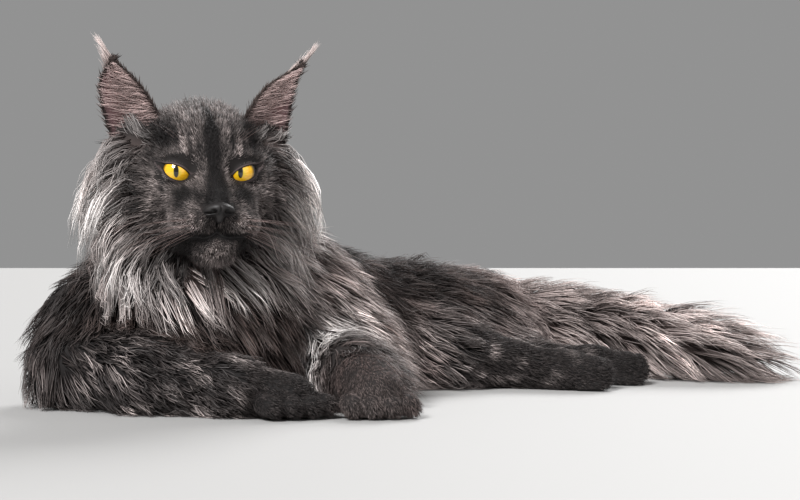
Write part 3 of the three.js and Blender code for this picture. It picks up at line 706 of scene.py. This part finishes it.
def build_lid(s):
    outline = opening_outline(96)
    count = len(outline)
    rows = []
    tints = []
    for stretch in LID_ROWS:
        rows.append(lid_points(s, outline, np.full(count, stretch)))
        shade = mix(vec(0.006, 0.005, 0.005), vec(0.075, 0.055, 0.055), ramp(stretch, 1.05, 1.15))
        tints.append(np.tile(mix(shade, SOOT * 0.4, ramp(stretch, 1.2, 1.4)), (count, 1)))
    corner = np.exp(-np.sum((outline - np.array(INNER_CORNER)) ** 2, axis=1) / 5)
    for i in range(4):
        tints[i] = mix(tints[i], vec(0.2, 0.15, 0.15), corner[:, None])
    faces = ring_faces(len(rows), count)
    if s > 0:
        faces = [f[::-1] for f in faces]
    lid = mesh_object("lid_" + side_name(s), np.concatenate(rows), faces)
    tinted(lid, np.concatenate(tints))
    return lid


def lid_hair(s):
    """Short hair of the lids, swept out and away from the opening."""
    n = 2600
    outline = opening_outline(400)
    outline = outline[rng.integers(0, len(outline), n)]
    stretch = 1.1 + 2.0 * rng.random(n)
    root = lid_points(s, outline, stretch)
    ahead = lid_points(s, outline, stretch + 0.14)
    outwards = unit(root - eye_centre(s))
    away = unit(to_head(root) - FACE_MIDDLE) @ HEAD_AXES
    way = unit(unit(ahead - root) * 0.7 + away * 0.8 + rng.normal(0, 0.15, (n, 3)))
    length = np.interp(stretch, [1.1, 1.6, 3.1], [1.1, 2.6, 4.6]) * rng.uniform(0.8, 1.2, n)
    k = steps_along(3)
    rise = way[:, None] + outwards[:, None] * 0.28
    path = root[:, None] - outwards[:, None] * 0.3 + rise * k * length[:, None, None]
    base, end = markings(root, np.eye(len(NAMES))[np.zeros(n, dtype=int)])
    shade = np.exp(rng.normal(0, 0.35, n))[:, None]
    normals = np.repeat(outwards[:, None], 3, axis=1)
    tints = (base * shade, end * shade)
    name = "lid_" + side_name(s) + "_hair"
    dressed(blades(name, path, rng.uniform(0.3, 0.5, n), normals, tints, skin_uvs(root)), HAIR, "coat")


# Nose leather: a ball drawn onto its own blended shape, with hollow nostrils
NOSE_LUMPS = [
    egg((34.5, 0, -26.5), (6.0, 7.5, 4.6)), egg((31.5, 6.8, -28.2), (5.2, 4.2, 4.0)),
    egg((31.5, -6.8, -28.2), (5.2, 4.2, 4.0)), egg((33, 0, -32.5), (4.2, 2.6, 4.4)),
]
NOSE_HOLLOWS = [  # the nostrils, the slits beside them and the groove between them
    egg((38.6, 4.4, -28.6), (3.6, 1.9, 1.6)), egg((38.6, -4.4, -28.6), (3.6, 1.9, 1.6)),
    egg((36.2, 8.0, -29.6), (4.0, 2.8, 0.8)), egg((36.2, -8.0, -29.6), (4.0, 2.8, 0.8)),
    egg((41.5, 0, -30), (3.2, 0.55, 6.0)),
]


def nose_distance(points):
    d = group_distance(points, 3.2, NOSE_LUMPS)
    for hollow in NOSE_HOLLOWS:
        d = -blended(-d, mass_distance(points, hollow), 0.8)
    return d


def build_nose():
    nose = sphere("nose_leather", 120, 90, 1)
    rays = unit(points_of(nose))
    middle = at_head(31, 0, -28.5)
    t = np.full(len(rays), 16.0)
    for _ in range(60):
        d = nose_distance(middle + rays * t[:, None])
        t = np.maximum(t - np.clip(d, -0.5, 3) * 0.6, 2.0)
    points = middle + rays * t[:, None]
    set_points(nose, points)
    h = to_head(points)
    # the nostrils are painted darker than the leather: painted shade in their hollows
    nostrils = [spot(h, (37, 4.8 * s, -28.8), (5, 3.2, 1.9)) for s in (1, -1)]
    painted_nostril_shade = np.minimum(1, nostrils[0] + nostrils[1])
    tinted(nose, mix(vec(0.014, 0.012, 0.012), vec(0.002, 0.002, 0.002), painted_nostril_shade[:, None] ** 1.5))
    return nose


def face_surface(left, up, start=70.0):
    """Points on the skin straight behind each place on the face."""
    h = np.column_stack([np.full(len(left), start), left, up])
    for _ in range(60):
        d = distance(EYES + h @ HEAD_AXES)
        h[:, 0] -= np.maximum(d * 0.7, 0.01)
        h[:, 0] = np.where(d < 0.05, h[:, 0] + 0.01, h[:, 0])
    return EYES + h @ HEAD_AXES


def tube(name, path, radii, sides=10):
    path = np.asarray(path)
    along = unit(np.gradient(path, axis=0))
    normal = unit(np.cross(along, np.cross(FORWARD, along)))
    across = np.cross(along, normal)
    turns = np.linspace(0, 2 * math.pi, sides, endpoint=False)
    rings = [p + r * (np.cos(turns)[:, None] * a + np.sin(turns)[:, None] * n)
             for p, r, a, n in zip(path, radii, across, normal)]
    faces = ring_faces(len(path), sides)
    faces.append(list(range(sides))[::-1])
    faces.append([(len(path) - 1) * sides + j for j in range(sides)])
    return mesh_object(name, np.concatenate(rings), faces)


def build_lips():
    path = face_surface(MOUTH_LINE[:, 0], MOUTH_LINE[:, 1]) - FORWARD * 0.3
    count = len(path)
    swell = np.sin(np.linspace(0, math.pi, count)) ** 0.5
    lips = tube("lips", path, 0.3 + 0.6 * swell)
    path = face_surface(PHILTRUM_LINE[:, 0], PHILTRUM_LINE[:, 1]) - FORWARD * 0.4
    philtrum = tube("philtrum", path, np.full(len(path), 0.7))
    for piece in (lips, philtrum):
        tinted(piece, np.tile(vec(0.006, 0.005, 0.005), (len(piece.data.vertices), 1)))
    return [lips, philtrum]


# Ears: cups between an inner and an outer edge that meet at the tip
def smooth_line(points, t):
    """A line through the points, evenly run, with rounded corners."""
    points = np.array(points)
    n = len(points) - 1
    u = t * n
    i = np.clip(u.astype(int), 0, n - 1)
    f = (u - i)[:, None]
    p0, p1 = points[np.clip(i - 1, 0, n)], points[i]
    p2, p3 = points[i + 1], points[np.clip(i + 2, 0, n)]
    square = 2 * p0 - 5 * p1 + 4 * p2 - p3
    cube = 3 * p1 - p0 - 3 * p2 + p3
    return 0.5 * (2 * p1 + (p2 - p0) * f + square * f ** 2 + cube * f ** 3)


def ear_edges(s, t):
    bulge = 66 if s > 0 else 72
    tip = at_head(-28, s * (72 if s > 0 else 65.5), 80)
    inner = [at_head(-44, 24 * s, 28), at_head(-38, 33 * s, 44), at_head(-33, 47 * s, 64), tip]
    outer = [at_head(-56, 58 * s, 10), at_head(-52, 64 * s, 26), at_head(-42, bulge * s, 48),
             at_head(-33, (bulge + 2) * s, 66), tip]
    return smooth_line(inner, t), smooth_line(outer, t)


EAR_WALL = 1.5


def ear_facing(s):
    return unit(0.86 * FORWARD + 0.5 * s * LEFT + 0.08 * UP)


def ear_surface(s, t, u, behind=0.0):
    """A point on the ear: t from root to tip, u from -1 at the inner edge to 1 at the outer edge."""
    inner, outer = ear_edges(s, t)
    across = outer - inner
    depth = np.linalg.norm(across, axis=1) * 0.36
    hollow = depth * (1 - u ** 2) + behind
    return (inner + outer) / 2 + across * (u / 2)[:, None] - ear_facing(s) * hollow[:, None]


def build_ear(s):
    rows, columns = 44, 30
    t = np.linspace(0, 0.985, rows)
    u = np.sin(np.linspace(-math.pi / 2, math.pi / 2, columns))
    points, tints = [], []
    lining = mix(vec(0.34, 0.2, 0.2), vec(0.2, 0.12, 0.125), ramp(np.abs(u), 0.3, 1.0)[:, None])
    for behind in (-EAR_WALL / 2, EAR_WALL / 2):
        for height in t:
            points.append(ear_surface(s, np.full(columns, height), u, behind))
            rim = np.maximum(ramp(np.abs(u), 0.86, 0.98), ramp(np.full(columns, height), 0.8, 0.95))
            inside = mix(lining, SOOT, rim[:, None])
            tints.append(inside if behind < 0 else np.tile(SOOT * 0.8, (columns, 1)))
    faces = []
    half = rows * columns
    for i in range(rows - 1):
        for j in range(columns - 1):
            a, b = i * columns + j, i * columns + j + 1
            faces.append([a, b, b + columns, a + columns])
            faces.append([half + a, half + a + columns, half + b + columns, half + b])
        for j in (0, columns - 1):
            a = i * columns + j
            quad = [a, a + columns, half + a + columns, half + a]
            faces.append(quad if j == 0 else quad[::-1])
    for i in (0, rows - 1):
        for j in range(columns - 1):
            a = i * columns + j
            quad = [a, half + a, half + a + 1, a + 1]
            faces.append(quad if i == 0 else quad[::-1])
    if s < 0:
        faces = [f[::-1] for f in faces]
    ear = mesh_object("ear_" + side_name(s) + "_skin", np.concatenate(points), faces)
    tinted(ear, np.concatenate(tints))
    return ear


# Coat: tufts, each a thin three-sided blade along a path of points
DROOP = 0.35  # how much long hair bends down towards its tip
ROOT_DEPTH = 1.2  # how far under the skin the hair starts
ABOVE_FLOOR = 0.8  # how low over the floor it lies
LONG_HAIR = 16  # hair from this length on is gathered round guides
TUFTS_PER_GUIDE = 16
GUIDE_STEPS = 9
LONG_POINTS = 5  # along each long tuft
MOST_TRIANGLES = 195000  # in one piece
COAT_GROUPS = {  # the bodies of each, as numbers of NAMES
    "ruff": (0, 1), "body_coat": (2,), "foreleg_coat": (3, 4, 5, 6), "hind_leg_coat": (7, 8, 9, 10),
    "tail_coat": (11,),
}


def blades(name, paths, widths, normals, tints, uvs, thick=0.4):
    """One object of all the tufts. Each path has k points, the last of which is the tuft's tip."""
    n, k, _ = paths.shape
    along = unit(np.gradient(paths, axis=1))
    side = unit(np.cross(normals, along))
    over = unit(np.cross(along, side))
    steps = np.linspace(0, 1, k)[:-1]
    profile = 1 - 0.75 * steps ** 1.6
    half = widths[:, None, None] * profile[None, :, None] / 2
    ring = k - 1
    a = paths[:, :ring] - side[:, :ring] * half
    b = paths[:, :ring] + side[:, :ring] * half
    c = paths[:, :ring] + over[:, :ring] * half * 2 * thick
    body = np.stack([a, b, c], axis=2).reshape(n, ring * 3, 3)
    points = np.concatenate([body, paths[:, -1:]], axis=1).reshape(-1, 3)
    per = ring * 3 + 1
    faces = []
    for r in range(ring - 1):
        for i in range(3):
            j = (i + 1) % 3
            faces += [(3 * r + i, 3 * r + j, 3 * r + 3 + j), (3 * r + i, 3 * r + 3 + j, 3 * r + 3 + i)]
    last = 3 * (ring - 1)
    faces += [(last + i, last + (i + 1) % 3, per - 1) for i in range(3)]
    faces.append((0, 2, 1))
    faces = np.array(faces)
    all_faces = (faces[None] + (np.arange(n) * per)[:, None, None]).reshape(-1, 3)
    mesh = bpy.data.meshes.new(name)
    mesh.vertices.add(len(points))
    mesh.vertices.foreach_set("co", (points * MM).astype(np.float32).ravel())
    mesh.loops.add(all_faces.size)
    mesh.loops.foreach_set("vertex_index", all_faces.astype(np.int32).ravel())
    mesh.polygons.add(len(all_faces))
    mesh.polygons.foreach_set("loop_start", np.arange(0, all_faces.size, 3, dtype=np.int32))
    mesh.polygons.foreach_set("loop_total", np.full(len(all_faces), 3, dtype=np.int32))
    shade_smooth(mesh)
    mesh.update()
    obj = linked(name, mesh)
    base, end = tints
    t = np.concatenate([np.repeat(steps, 3), [1.0]])
    colours = mix(base[:, None], end[:, None], np.clip(t * 1.25, 0, 1)[None, :, None])
    tinted(obj, colours.reshape(-1, 3))
    layer = mesh.uv_layers.new(name="OFBake")
    corner = np.array([[0, 0], [1, 0], [0.5, 1]]) * 0.003 - 0.0015
    patch = np.tile(corner, (len(faces), 1))
    uv = (uvs[:, None] + patch[None]).reshape(-1, 2)
    layer.data.foreach_set("uv", np.clip(uv, 0.0005, 0.9995).astype(np.float32).ravel())
    return obj


def scattered(skin, density):
    """Random places on the skin. density gives how many there are to a square millimetre."""
    mesh = skin.data
    mesh.calc_loop_triangles()
    corners = values_of(mesh.loop_triangles, "vertices", 3, np.int32)
    loops = values_of(mesh.loop_triangles, "loops", 3, np.int32)
    tri = points_of(skin)[corners]
    cross = np.cross(tri[:, 1] - tri[:, 0], tri[:, 2] - tri[:, 0])
    area = np.linalg.norm(cross, axis=1) / 2
    wanted = area * density(tri.mean(axis=1), unit(cross))
    many = rng.poisson(wanted)
    which = np.repeat(np.arange(len(tri)), many)
    r1, r2 = rng.random(len(which)), rng.random(len(which))
    flip = r1 + r2 > 1
    r1, r2 = np.where(flip, 1 - r1, r1), np.where(flip, 1 - r2, r2)
    t = tri[which]
    place = t[:, 0] + r1[:, None] * (t[:, 1] - t[:, 0]) + r2[:, None] * (t[:, 2] - t[:, 0])
    return place, unit(cross)[which], unwrap_of(mesh)[loops].mean(axis=1)[which]


def line_gap(points, line):
    """How far each place on the face is from a line drawn on it."""
    h = to_head(points)[:, 1:]
    return np.min(np.linalg.norm(h[:, None] - line[None], axis=2), axis=1)


def bare(points):
    """True where no hair grows: eyes and the rims of their lids, nose and lips."""
    out = np.zeros(len(points), dtype=bool)
    for s in (1, -1):
        x, y, z = to_eye(points, s)
        out |= (np.hypot(x / (EYE_OPENING[0] * 1.75), y / (EYE_OPENING[1] * 1.95)) < 1) & (z > -4)
    h = to_head(points)
    a, b, c = h.T
    leather = np.abs(b) < 10.5 - np.maximum(0, -c - 28) * 1.3
    out |= leather & (c > -36) & (c < -22.5) & (a > 24)
    face = (a > -12) & (c < -28) & (c > -56)
    near = np.flatnonzero(face)
    out[near] |= line_gap(points[near], MOUTH_LINE) < 1.5
    out[near] |= line_gap(points[near], PHILTRUM_LINE) < 0.9
    return out


def grow(places, normals, lengths, weights, steps, lift, stray=0.1):
    """Paths of hair from its roots, lying along the coat and clear of the skin."""
    n = len(places)
    path = np.empty((n, steps + 1, 3))
    path[:, 0] = places - normals * ROOT_DEPTH
    at = places.copy()
    up = normals
    puff = 1 + 1.3 * (weights[:, 0] + weights[:, 1]) * ramp(lengths, 20, 50)
    depth = hair_depth(lengths) * puff
    wander = rng.normal(0, stray, (n, 3))
    for i in range(1, steps + 1):
        t = i / steps
        way = unit(lie(at, up, weights, t) + wander)
        way += up * (lift * (1 - t) ** 1.2)[:, None]
        way[:, 2] -= DROOP * t * ramp(lengths, 14, 40)
        at = at + unit(way) * (lengths / steps)[:, None]
        wanted = depth * (0.25 + 0.75 * t) * 0.9
        for _ in range(2):
            d = distance(at)
            up = gradient(at, d)
            short = np.maximum(wanted * 0.6 - d, 0)
            at = at + up * short[:, None]
        at[:, 2] = np.maximum(at[:, 2], ABOVE_FLOOR)
        path[:, i] = at
    return path


def resampled(path, reach, count):
    """The same paths cut to a share of their length and given count points."""
    n, k, _ = path.shape
    t = np.linspace(0, 1, count)[None] * reach[:, None] * (k - 1)
    i = np.clip(t.astype(int), 0, k - 2)
    f = (t - i)[..., None]
    rows = np.arange(n)[:, None]
    return path[rows, i] * (1 - f) + path[rows, i + 1] * f


def set_inputs(node, values):
    for name, value in values.items():
        node.inputs[name].default_value = value


def surface_material(name, roughness, coat=0.0, specular=0.5):
    material = bpy.data.materials.new(name)
    material.use_nodes = True
    nodes, links = material.node_tree.nodes, material.node_tree.links
    shader = nodes["Principled BSDF"]
    tint = nodes.new("ShaderNodeAttribute")
    tint.attribute_name = "tint"
    links.new(tint.outputs["Color"], shader.inputs["Base Color"])
    set_inputs(shader, {"Roughness": roughness, "Specular IOR Level": specular,
                        "Coat Weight": coat, "Coat Roughness": 0.03})
    return material


def dressed(piece, material, slot, *nodes):
    piece.data.materials.clear()
    piece.data.materials.append(material)
    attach(piece, "root")
    if nodes:
        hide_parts(*nodes)


HAIR = surface_material("hair", 0.5, specular=0.24)
SKIN = surface_material("skin", 0.8, specular=0.3)
EYE = surface_material("eye", 0.12, coat=1.0)
WET = surface_material("nose", 0.5, specular=0.35)

FLESH = ["head", "ear_left", "ear_right", "neck", "torso", "foreleg_left", "foreleg_right",
         "hind_leg_left", "hind_leg_right", "tail"]


def build_flesh():
    """The skin joined with the ears, a little darker than the roots of its hair, and unwrapped."""
    skin = build_skin()
    points = points_of(skin)
    tinted(skin, markings(points, body_weights(points))[0] * 0.6)
    ears = [build_ear(s) for s in (1, -1)]
    active(skin)
    for ear in ears:
        ear.select_set(True)
    bpy.ops.object.join()
    skin.data.uv_layers.new(name="OFBake")
    active(skin)
    bpy.ops.object.mode_set(mode="EDIT")
    bpy.ops.mesh.select_all(action="SELECT")
    bpy.ops.uv.smart_project(angle_limit=math.radians(66), island_margin=0.002)
    bpy.ops.object.mode_set(mode="OBJECT")
    return skin


def skin_uvs(points):
    """The place of the nearest part of the skin on its unwrap."""
    return vertex_uv[nearest(skin_tree, points)]


# Coat over the whole skin
def coat_density(points, normals):
    weights = body_weights(points)
    length = hair_length(points, weights)
    many = np.interp(length, [4, 7, 14, 30, 60], [1.05, 0.78, 0.36, 0.145, 0.15])
    many *= 1 + 0.5 * weights[:, 0]
    behind = ramp(points[:, 1] - 0.45 * points[:, 0], 60, 110)
    return np.where((points[:, 2] < 2.5) | bare(points), 0, many * (1 - 0.35 * behind))


def coat_roots(skin):
    """For each tuft its place, the way up, its place on the unwrap, and its body, length and colours."""
    places, ups, uvs = scattered(skin, coat_density)
    on_body = np.abs(distance(places)) < 1.2
    roots = {"place": places[on_body], "up": ups[on_body], "uv": uvs[on_body]}
    roots["weight"] = body_weights(roots["place"])
    roots["length"] = hair_length(roots["place"], roots["weight"])
    roots["base"], roots["end"] = markings(roots["place"], roots["weight"])
    return roots


def pick(roots, index):
    return {key: values[index] for key, values in roots.items()}


def guide_hairs(guides):
    """Paths that the long tufts follow, and how light the tufts round each are."""
    n = len(guides["place"])
    loose = guides["weight"][:, 0] + guides["weight"][:, 1]
    lengths = guides["length"] * rng.uniform(0.85, 1.12, n)
    paths = grow(guides["place"], guides["up"], lengths, guides["weight"], GUIDE_STEPS, 0.3 + 0.3 * loose)
    shade = rng.normal(0, 1, n)
    t = np.linspace(0, 1, GUIDE_STEPS + 1)
    sideways = rng.normal(0, 1, (n, 1, 3))
    sway = sideways * np.sin(t * 5.5 + rng.uniform(0, 3, (n, 1)))[:, :, None]
    looser = 1 + 1.8 * (loose + 0.5 * guides["weight"][:, 2])
    paths += sway * (t * 1.5)[None, :, None] * looser[:, None, None]
    return paths, shade


def gathered(offsets, guide_paths):
    """Paths of long tufts: each runs beside its guide, closer towards the tip, and clear of the skin."""
    n = len(offsets)
    t = np.linspace(0, 1, GUIDE_STEPS + 1)
    gather = 1 - rng.uniform(0.45, 0.85, (n, 1)) * t[None] ** 1.1
    paths = guide_paths + offsets[:, None] * gather[:, :, None]
    wave = rng.normal(0, 1, (n, 1, 3)) * np.sin(t * 3.0)[None, :, None] * 1.3
    curl = rng.normal(0, 1, (n, 1, 3)) * (t ** 2)[None, :, None] * 2.6
    paths += wave + curl
    paths = resampled(paths, rng.uniform(0.7, 1.0, n), LONG_POINTS)
    flat = paths[:, 1:].reshape(-1, 3)
    d = distance(flat)
    low = d < 1.0
    up = gradient(flat[low], d[low])
    flat[low] += up * (1.0 - d[low])[:, None]
    flat[:, 2] = np.maximum(flat[:, 2], ABOVE_FLOOR)
    paths[:, 1:] = flat.reshape(paths[:, 1:].shape)
    return paths


def coat_pieces(name, roots, paths, widths):
    """Pieces of the coat, each small enough to stay under the limit of its triangles."""
    k = paths.shape[1]
    most = MOST_TRIANGLES // (6 * k - 8)
    for part, start in enumerate(range(0, len(paths), most), 1):
        some = slice(start, start + most)
        tufts = pick(roots, some)
        normals = np.repeat(tufts["up"][:, None], k, axis=1)
        tints = (tufts["base"], tufts["end"])
        piece = blades(name + "_" + str(part), paths[some], widths[some], normals, tints, tufts["uv"])
        dressed(piece, HAIR, "ruff" if name == "ruff" else "coat")


def long_coat(roots):
    """Tufts of the ruff, body, legs and tail, gathered round guide hairs."""
    n = len(roots["place"])
    guides = pick(roots, rng.choice(n, size=max(n // TUFTS_PER_GUIDE, 10), replace=False))
    guide_paths, guide_shade = guide_hairs(guides)
    near = nearest(tree_of(guides["place"]), roots["place"])
    paths = gathered(roots["place"] - guides["place"][near], guide_paths[near])
    shade = np.exp(0.38 * guide_shade[near] + rng.normal(0, 0.3, n))[:, None]
    silver = (rng.random(n) < 0.1)[:, None]
    roots["base"] = roots["base"] * shade * 0.8
    roots["end"] = np.where(silver, roots["end"] * 1.5 + 0.05, roots["end"] * shade)
    widths = rng.uniform(0.55, 1.3, n)
    body = np.argmax(roots["weight"], axis=1)
    for name, members in COAT_GROUPS.items():
        chosen = np.flatnonzero(np.isin(body, members))
        coat_pieces(name, pick(roots, chosen), paths[chosen], widths[chosen])


def short_coat(roots):
    """Tufts of the face, crown and feet."""
    n = len(roots["place"])
    lengths = roots["length"] * rng.uniform(0.75, 1.2, n)
    paths = grow(roots["place"], roots["up"], lengths, roots["weight"], 2, np.full(n, 0.3), stray=0.22)
    shade = np.exp(rng.normal(0, 0.4, n))[:, None]
    fleck = (rng.random(n) < 0.06)[:, None]
    roots["base"] = roots["base"] * shade
    roots["end"] = np.where(fleck, roots["end"] * 2.2 + 0.02, roots["end"] * shade)
    widths = np.interp(lengths, [4, 14], [0.42, 0.75]) * rng.uniform(0.8, 1.2, n)
    coat_pieces("short_coat", roots, paths, widths)


# Hair of the ears
def ear_hair(s):
    """Four kinds of tuft: across the cup, along the edges, on the back and beyond the tip."""
    facing = ear_facing(s)
    k = steps_along(5)
    groups = []
    # across the cup from the inner edge
    n = 800
    t = rng.uniform(0.06, 0.86, n)
    u = -1 + rng.uniform(0, 1, n) ** 1.6 * 1.1
    start = ear_surface(s, t, u, -0.6)
    ahead = np.clip(t + rng.uniform(0.0, 0.14, n), 0, 0.95)
    across = np.clip(u + rng.uniform(0.5, 1.3, n), -1, 1.05)
    end = ear_surface(s, ahead, across, -3)
    bow = np.sin(k * math.pi) * rng.uniform(0.5, 4.5, n)[:, None, None]
    path = start[:, None] * (1 - k) + end[:, None] * k + facing * bow + rng.normal(0, 0.5, (n, 5, 3)) * k
    groups.append((path, rng.uniform(0.3, 0.6, n), MAUVE * 0.8, EAR_PINK))
    # along both edges, up towards the tip
    n = 600
    t = rng.uniform(0.12, 0.97, n)
    u = np.where(rng.random(n) < 0.6, -1, 1) * rng.uniform(0.93, 1.0, n)
    start = ear_surface(s, t, u, rng.uniform(-0.6, 0.6, n))
    ahead = ear_surface(s, np.clip(t + 0.06, 0, 1), u)
    way = unit(ahead - start + rng.normal(0, 0.9, (n, 3)))
    length = rng.uniform(4, 9, n)[:, None, None]
    outwards = unit(start - ear_surface(s, t, 0 * u))[:, None]
    path = start[:, None] + way[:, None] * k * length + outwards * k ** 1.5 * length * 0.3
    groups.append((path, rng.uniform(0.4, 0.8, n), SOOT, BROWN))
    # short fur on the back
    n = 2000
    t = rng.uniform(0.0, 0.98, n)
    u = rng.uniform(-1, 1, n)
    start = ear_surface(s, t, u, 0.5)
    ahead = ear_surface(s, np.clip(t + 0.05, 0, 1), u, 0.5)
    way = unit(ahead - start + rng.normal(0, 0.5, (n, 3)))
    length = rng.uniform(4, 8, n)[:, None, None]
    path = start[:, None] + way[:, None] * k * length - facing * k * length * 0.28
    groups.append((path, rng.uniform(0.8, 1.3, n), BLACK, SOOT * 1.2))
    # the tuft beyond the tip
    n = 320
    tip = ear_edges(s, np.array([1.0]))[0][0]
    t = 1 - rng.uniform(0, 1, n) ** 1.5 * 0.2
    start = ear_surface(s, np.minimum(t, 0.985), rng.uniform(-1, 1, n))
    way = unit(-0.1 * FORWARD + 0.62 * s * LEFT + 0.86 * UP)
    length = rng.uniform(11, 24, n)[:, None, None]
    toward = unit(tip + way * 8 - start)[:, None]
    spread = rng.normal(0, 0.1, (n, 1, 3))
    path = start[:, None] + (toward * (1 - k * 0.5) + (way + spread) * (k * 0.5 + 0.15)) * k * length * 0.85
    groups.append((path, rng.uniform(0.3, 0.55, n), TAUPE, SILVER))
    counts = [len(group[0]) for group in groups]
    paths, widths = [np.concatenate([group[i] for group in groups]) for i in (0, 1)]
    shade = np.exp(rng.normal(0, 0.25, len(paths)))[:, None]
    base, end = [np.repeat([group[i] for group in groups], counts, axis=0) * shade for i in (2, 3)]
    name, normals = "ear_" + side_name(s) + "_hair", np.broadcast_to(facing, paths.shape)
    dressed(blades(name, paths, widths, normals, (base, end), skin_uvs(paths[:, 0])), HAIR, "coat")


# Whiskers, from four rows on each pad, and a few over each eye
def build_whiskers():
    starts, ways, lengths = [], [], []
    for s in (1, -1):
        for row, up in enumerate((-34, -37, -40, -43)):
            for i in range(4):
                left = s * (13 + 3.6 * i)
                starts.append((left, up - 0.4 * i))
                out = LEFT * s * (0.8 + 0.12 * i)
                ways.append(unit(out + FORWARD * (0.16 - 0.12 * i) + UP * (0.02 - 0.13 * row)))
                lengths.append(rng.uniform(34, 60))
        for i in range(3):
            starts.append((s * (17 + 3 * i), 20 + i))
            ways.append(unit(LEFT * s * (0.5 + 0.25 * i) + FORWARD * 0.35 + UP * 0.8))
            lengths.append(rng.uniform(24, 34))
    starts = np.array(starts)
    base = face_surface(starts[:, 0], starts[:, 1]) - FORWARD
    ways, lengths = np.array(ways), np.array(lengths)
    k = steps_along(12)
    path = base[:, None] + ways[:, None] * k * lengths[:, None, None]
    path[..., 2] -= (k[..., 0] ** 2) * lengths[:, None] * 0.16
    path += rng.normal(0, 1, (len(base), 1, 3)) * k ** 2 * 2
    colour = np.tile(TAUPE, (len(base), 1)) * rng.uniform(0.5, 1.5, (len(base), 1))
    normals = np.broadcast_to(UP, path.shape)
    width = np.full(len(base), 0.18)
    piece = blades("whiskers", path, width, normals, (colour, colour), skin_uvs(base), 0.8)
    dressed(piece, HAIR, "coat")


# The whole cat
skin = build_flesh()
dressed(skin, SKIN, "coat", *FLESH)
vertex_uv = unwrap_places(skin.data)
skin_tree = tree_of(points_of(skin))
for s in (1, -1):
    dressed(build_eye(s), EYE, "eye", "eye_" + side_name(s))
    dressed(build_lid(s), SKIN, "coat")
dressed(build_nose(), WET, "coat")
for piece in build_lips():
    dressed(piece, WET, "coat")
roots = coat_roots(skin)
is_long = roots["length"] > LONG_HAIR
long_coat(pick(roots, is_long))
short_coat(pick(roots, ~is_long))
for s in (1, -1):
    lid_hair(s)
for s in (1, -1):
    ear_hair(s)
build_whiskers()

# Floor, light and camera
bpy.ops.mesh.primitive_plane_add(size=12, location=(0, 0, 0))
floor = bpy.context.active_object
floor.name = "floor"
pale = bpy.data.materials.new("floor")
pale.use_nodes = True
set_inputs(pale.node_tree.nodes["Principled BSDF"], {"Base Color": (0.4, 0.395, 0.39, 1), "Roughness": 0.7})
floor.data.materials.append(pale)


def sun(name, place, spread, power):
    light = bpy.data.lights.new(name, "SUN")
    light.angle = math.radians(spread)
    light.energy = power
    lamp = linked(name, light)
    lamp.location = place
    lamp.rotation_euler = Vector(place).to_track_quat("Z", "Y").to_euler()


sun("key", (-0.6, -1.15, 1.2), 22, 4.4)
sun("fill", (1.4, -1.3, 0.8), 50, 0.6)
sun("rim", (0.5, 1.3, 1.0), 30, 2.6)
world = bpy.data.worlds.new("studio")
world.use_nodes = True
set_inputs(world.node_tree.nodes["Background"], {"Color": (0.8, 0.8, 0.8, 1), "Strength": 0.36})
bpy.context.scene.world = world

camera = bpy.data.cameras.new("camera")
camera.lens = 75
camera.sensor_width = 36
camera.clip_end = 50
holder = linked("camera", camera)
holder.location = (0.075, -1.36, 0.124)
holder.rotation_euler = (math.radians(90 - 0.344), 0, 0)
bpy.context.scene.camera = holder
bpy.context.scene.view_settings.view_transform = "Standard"
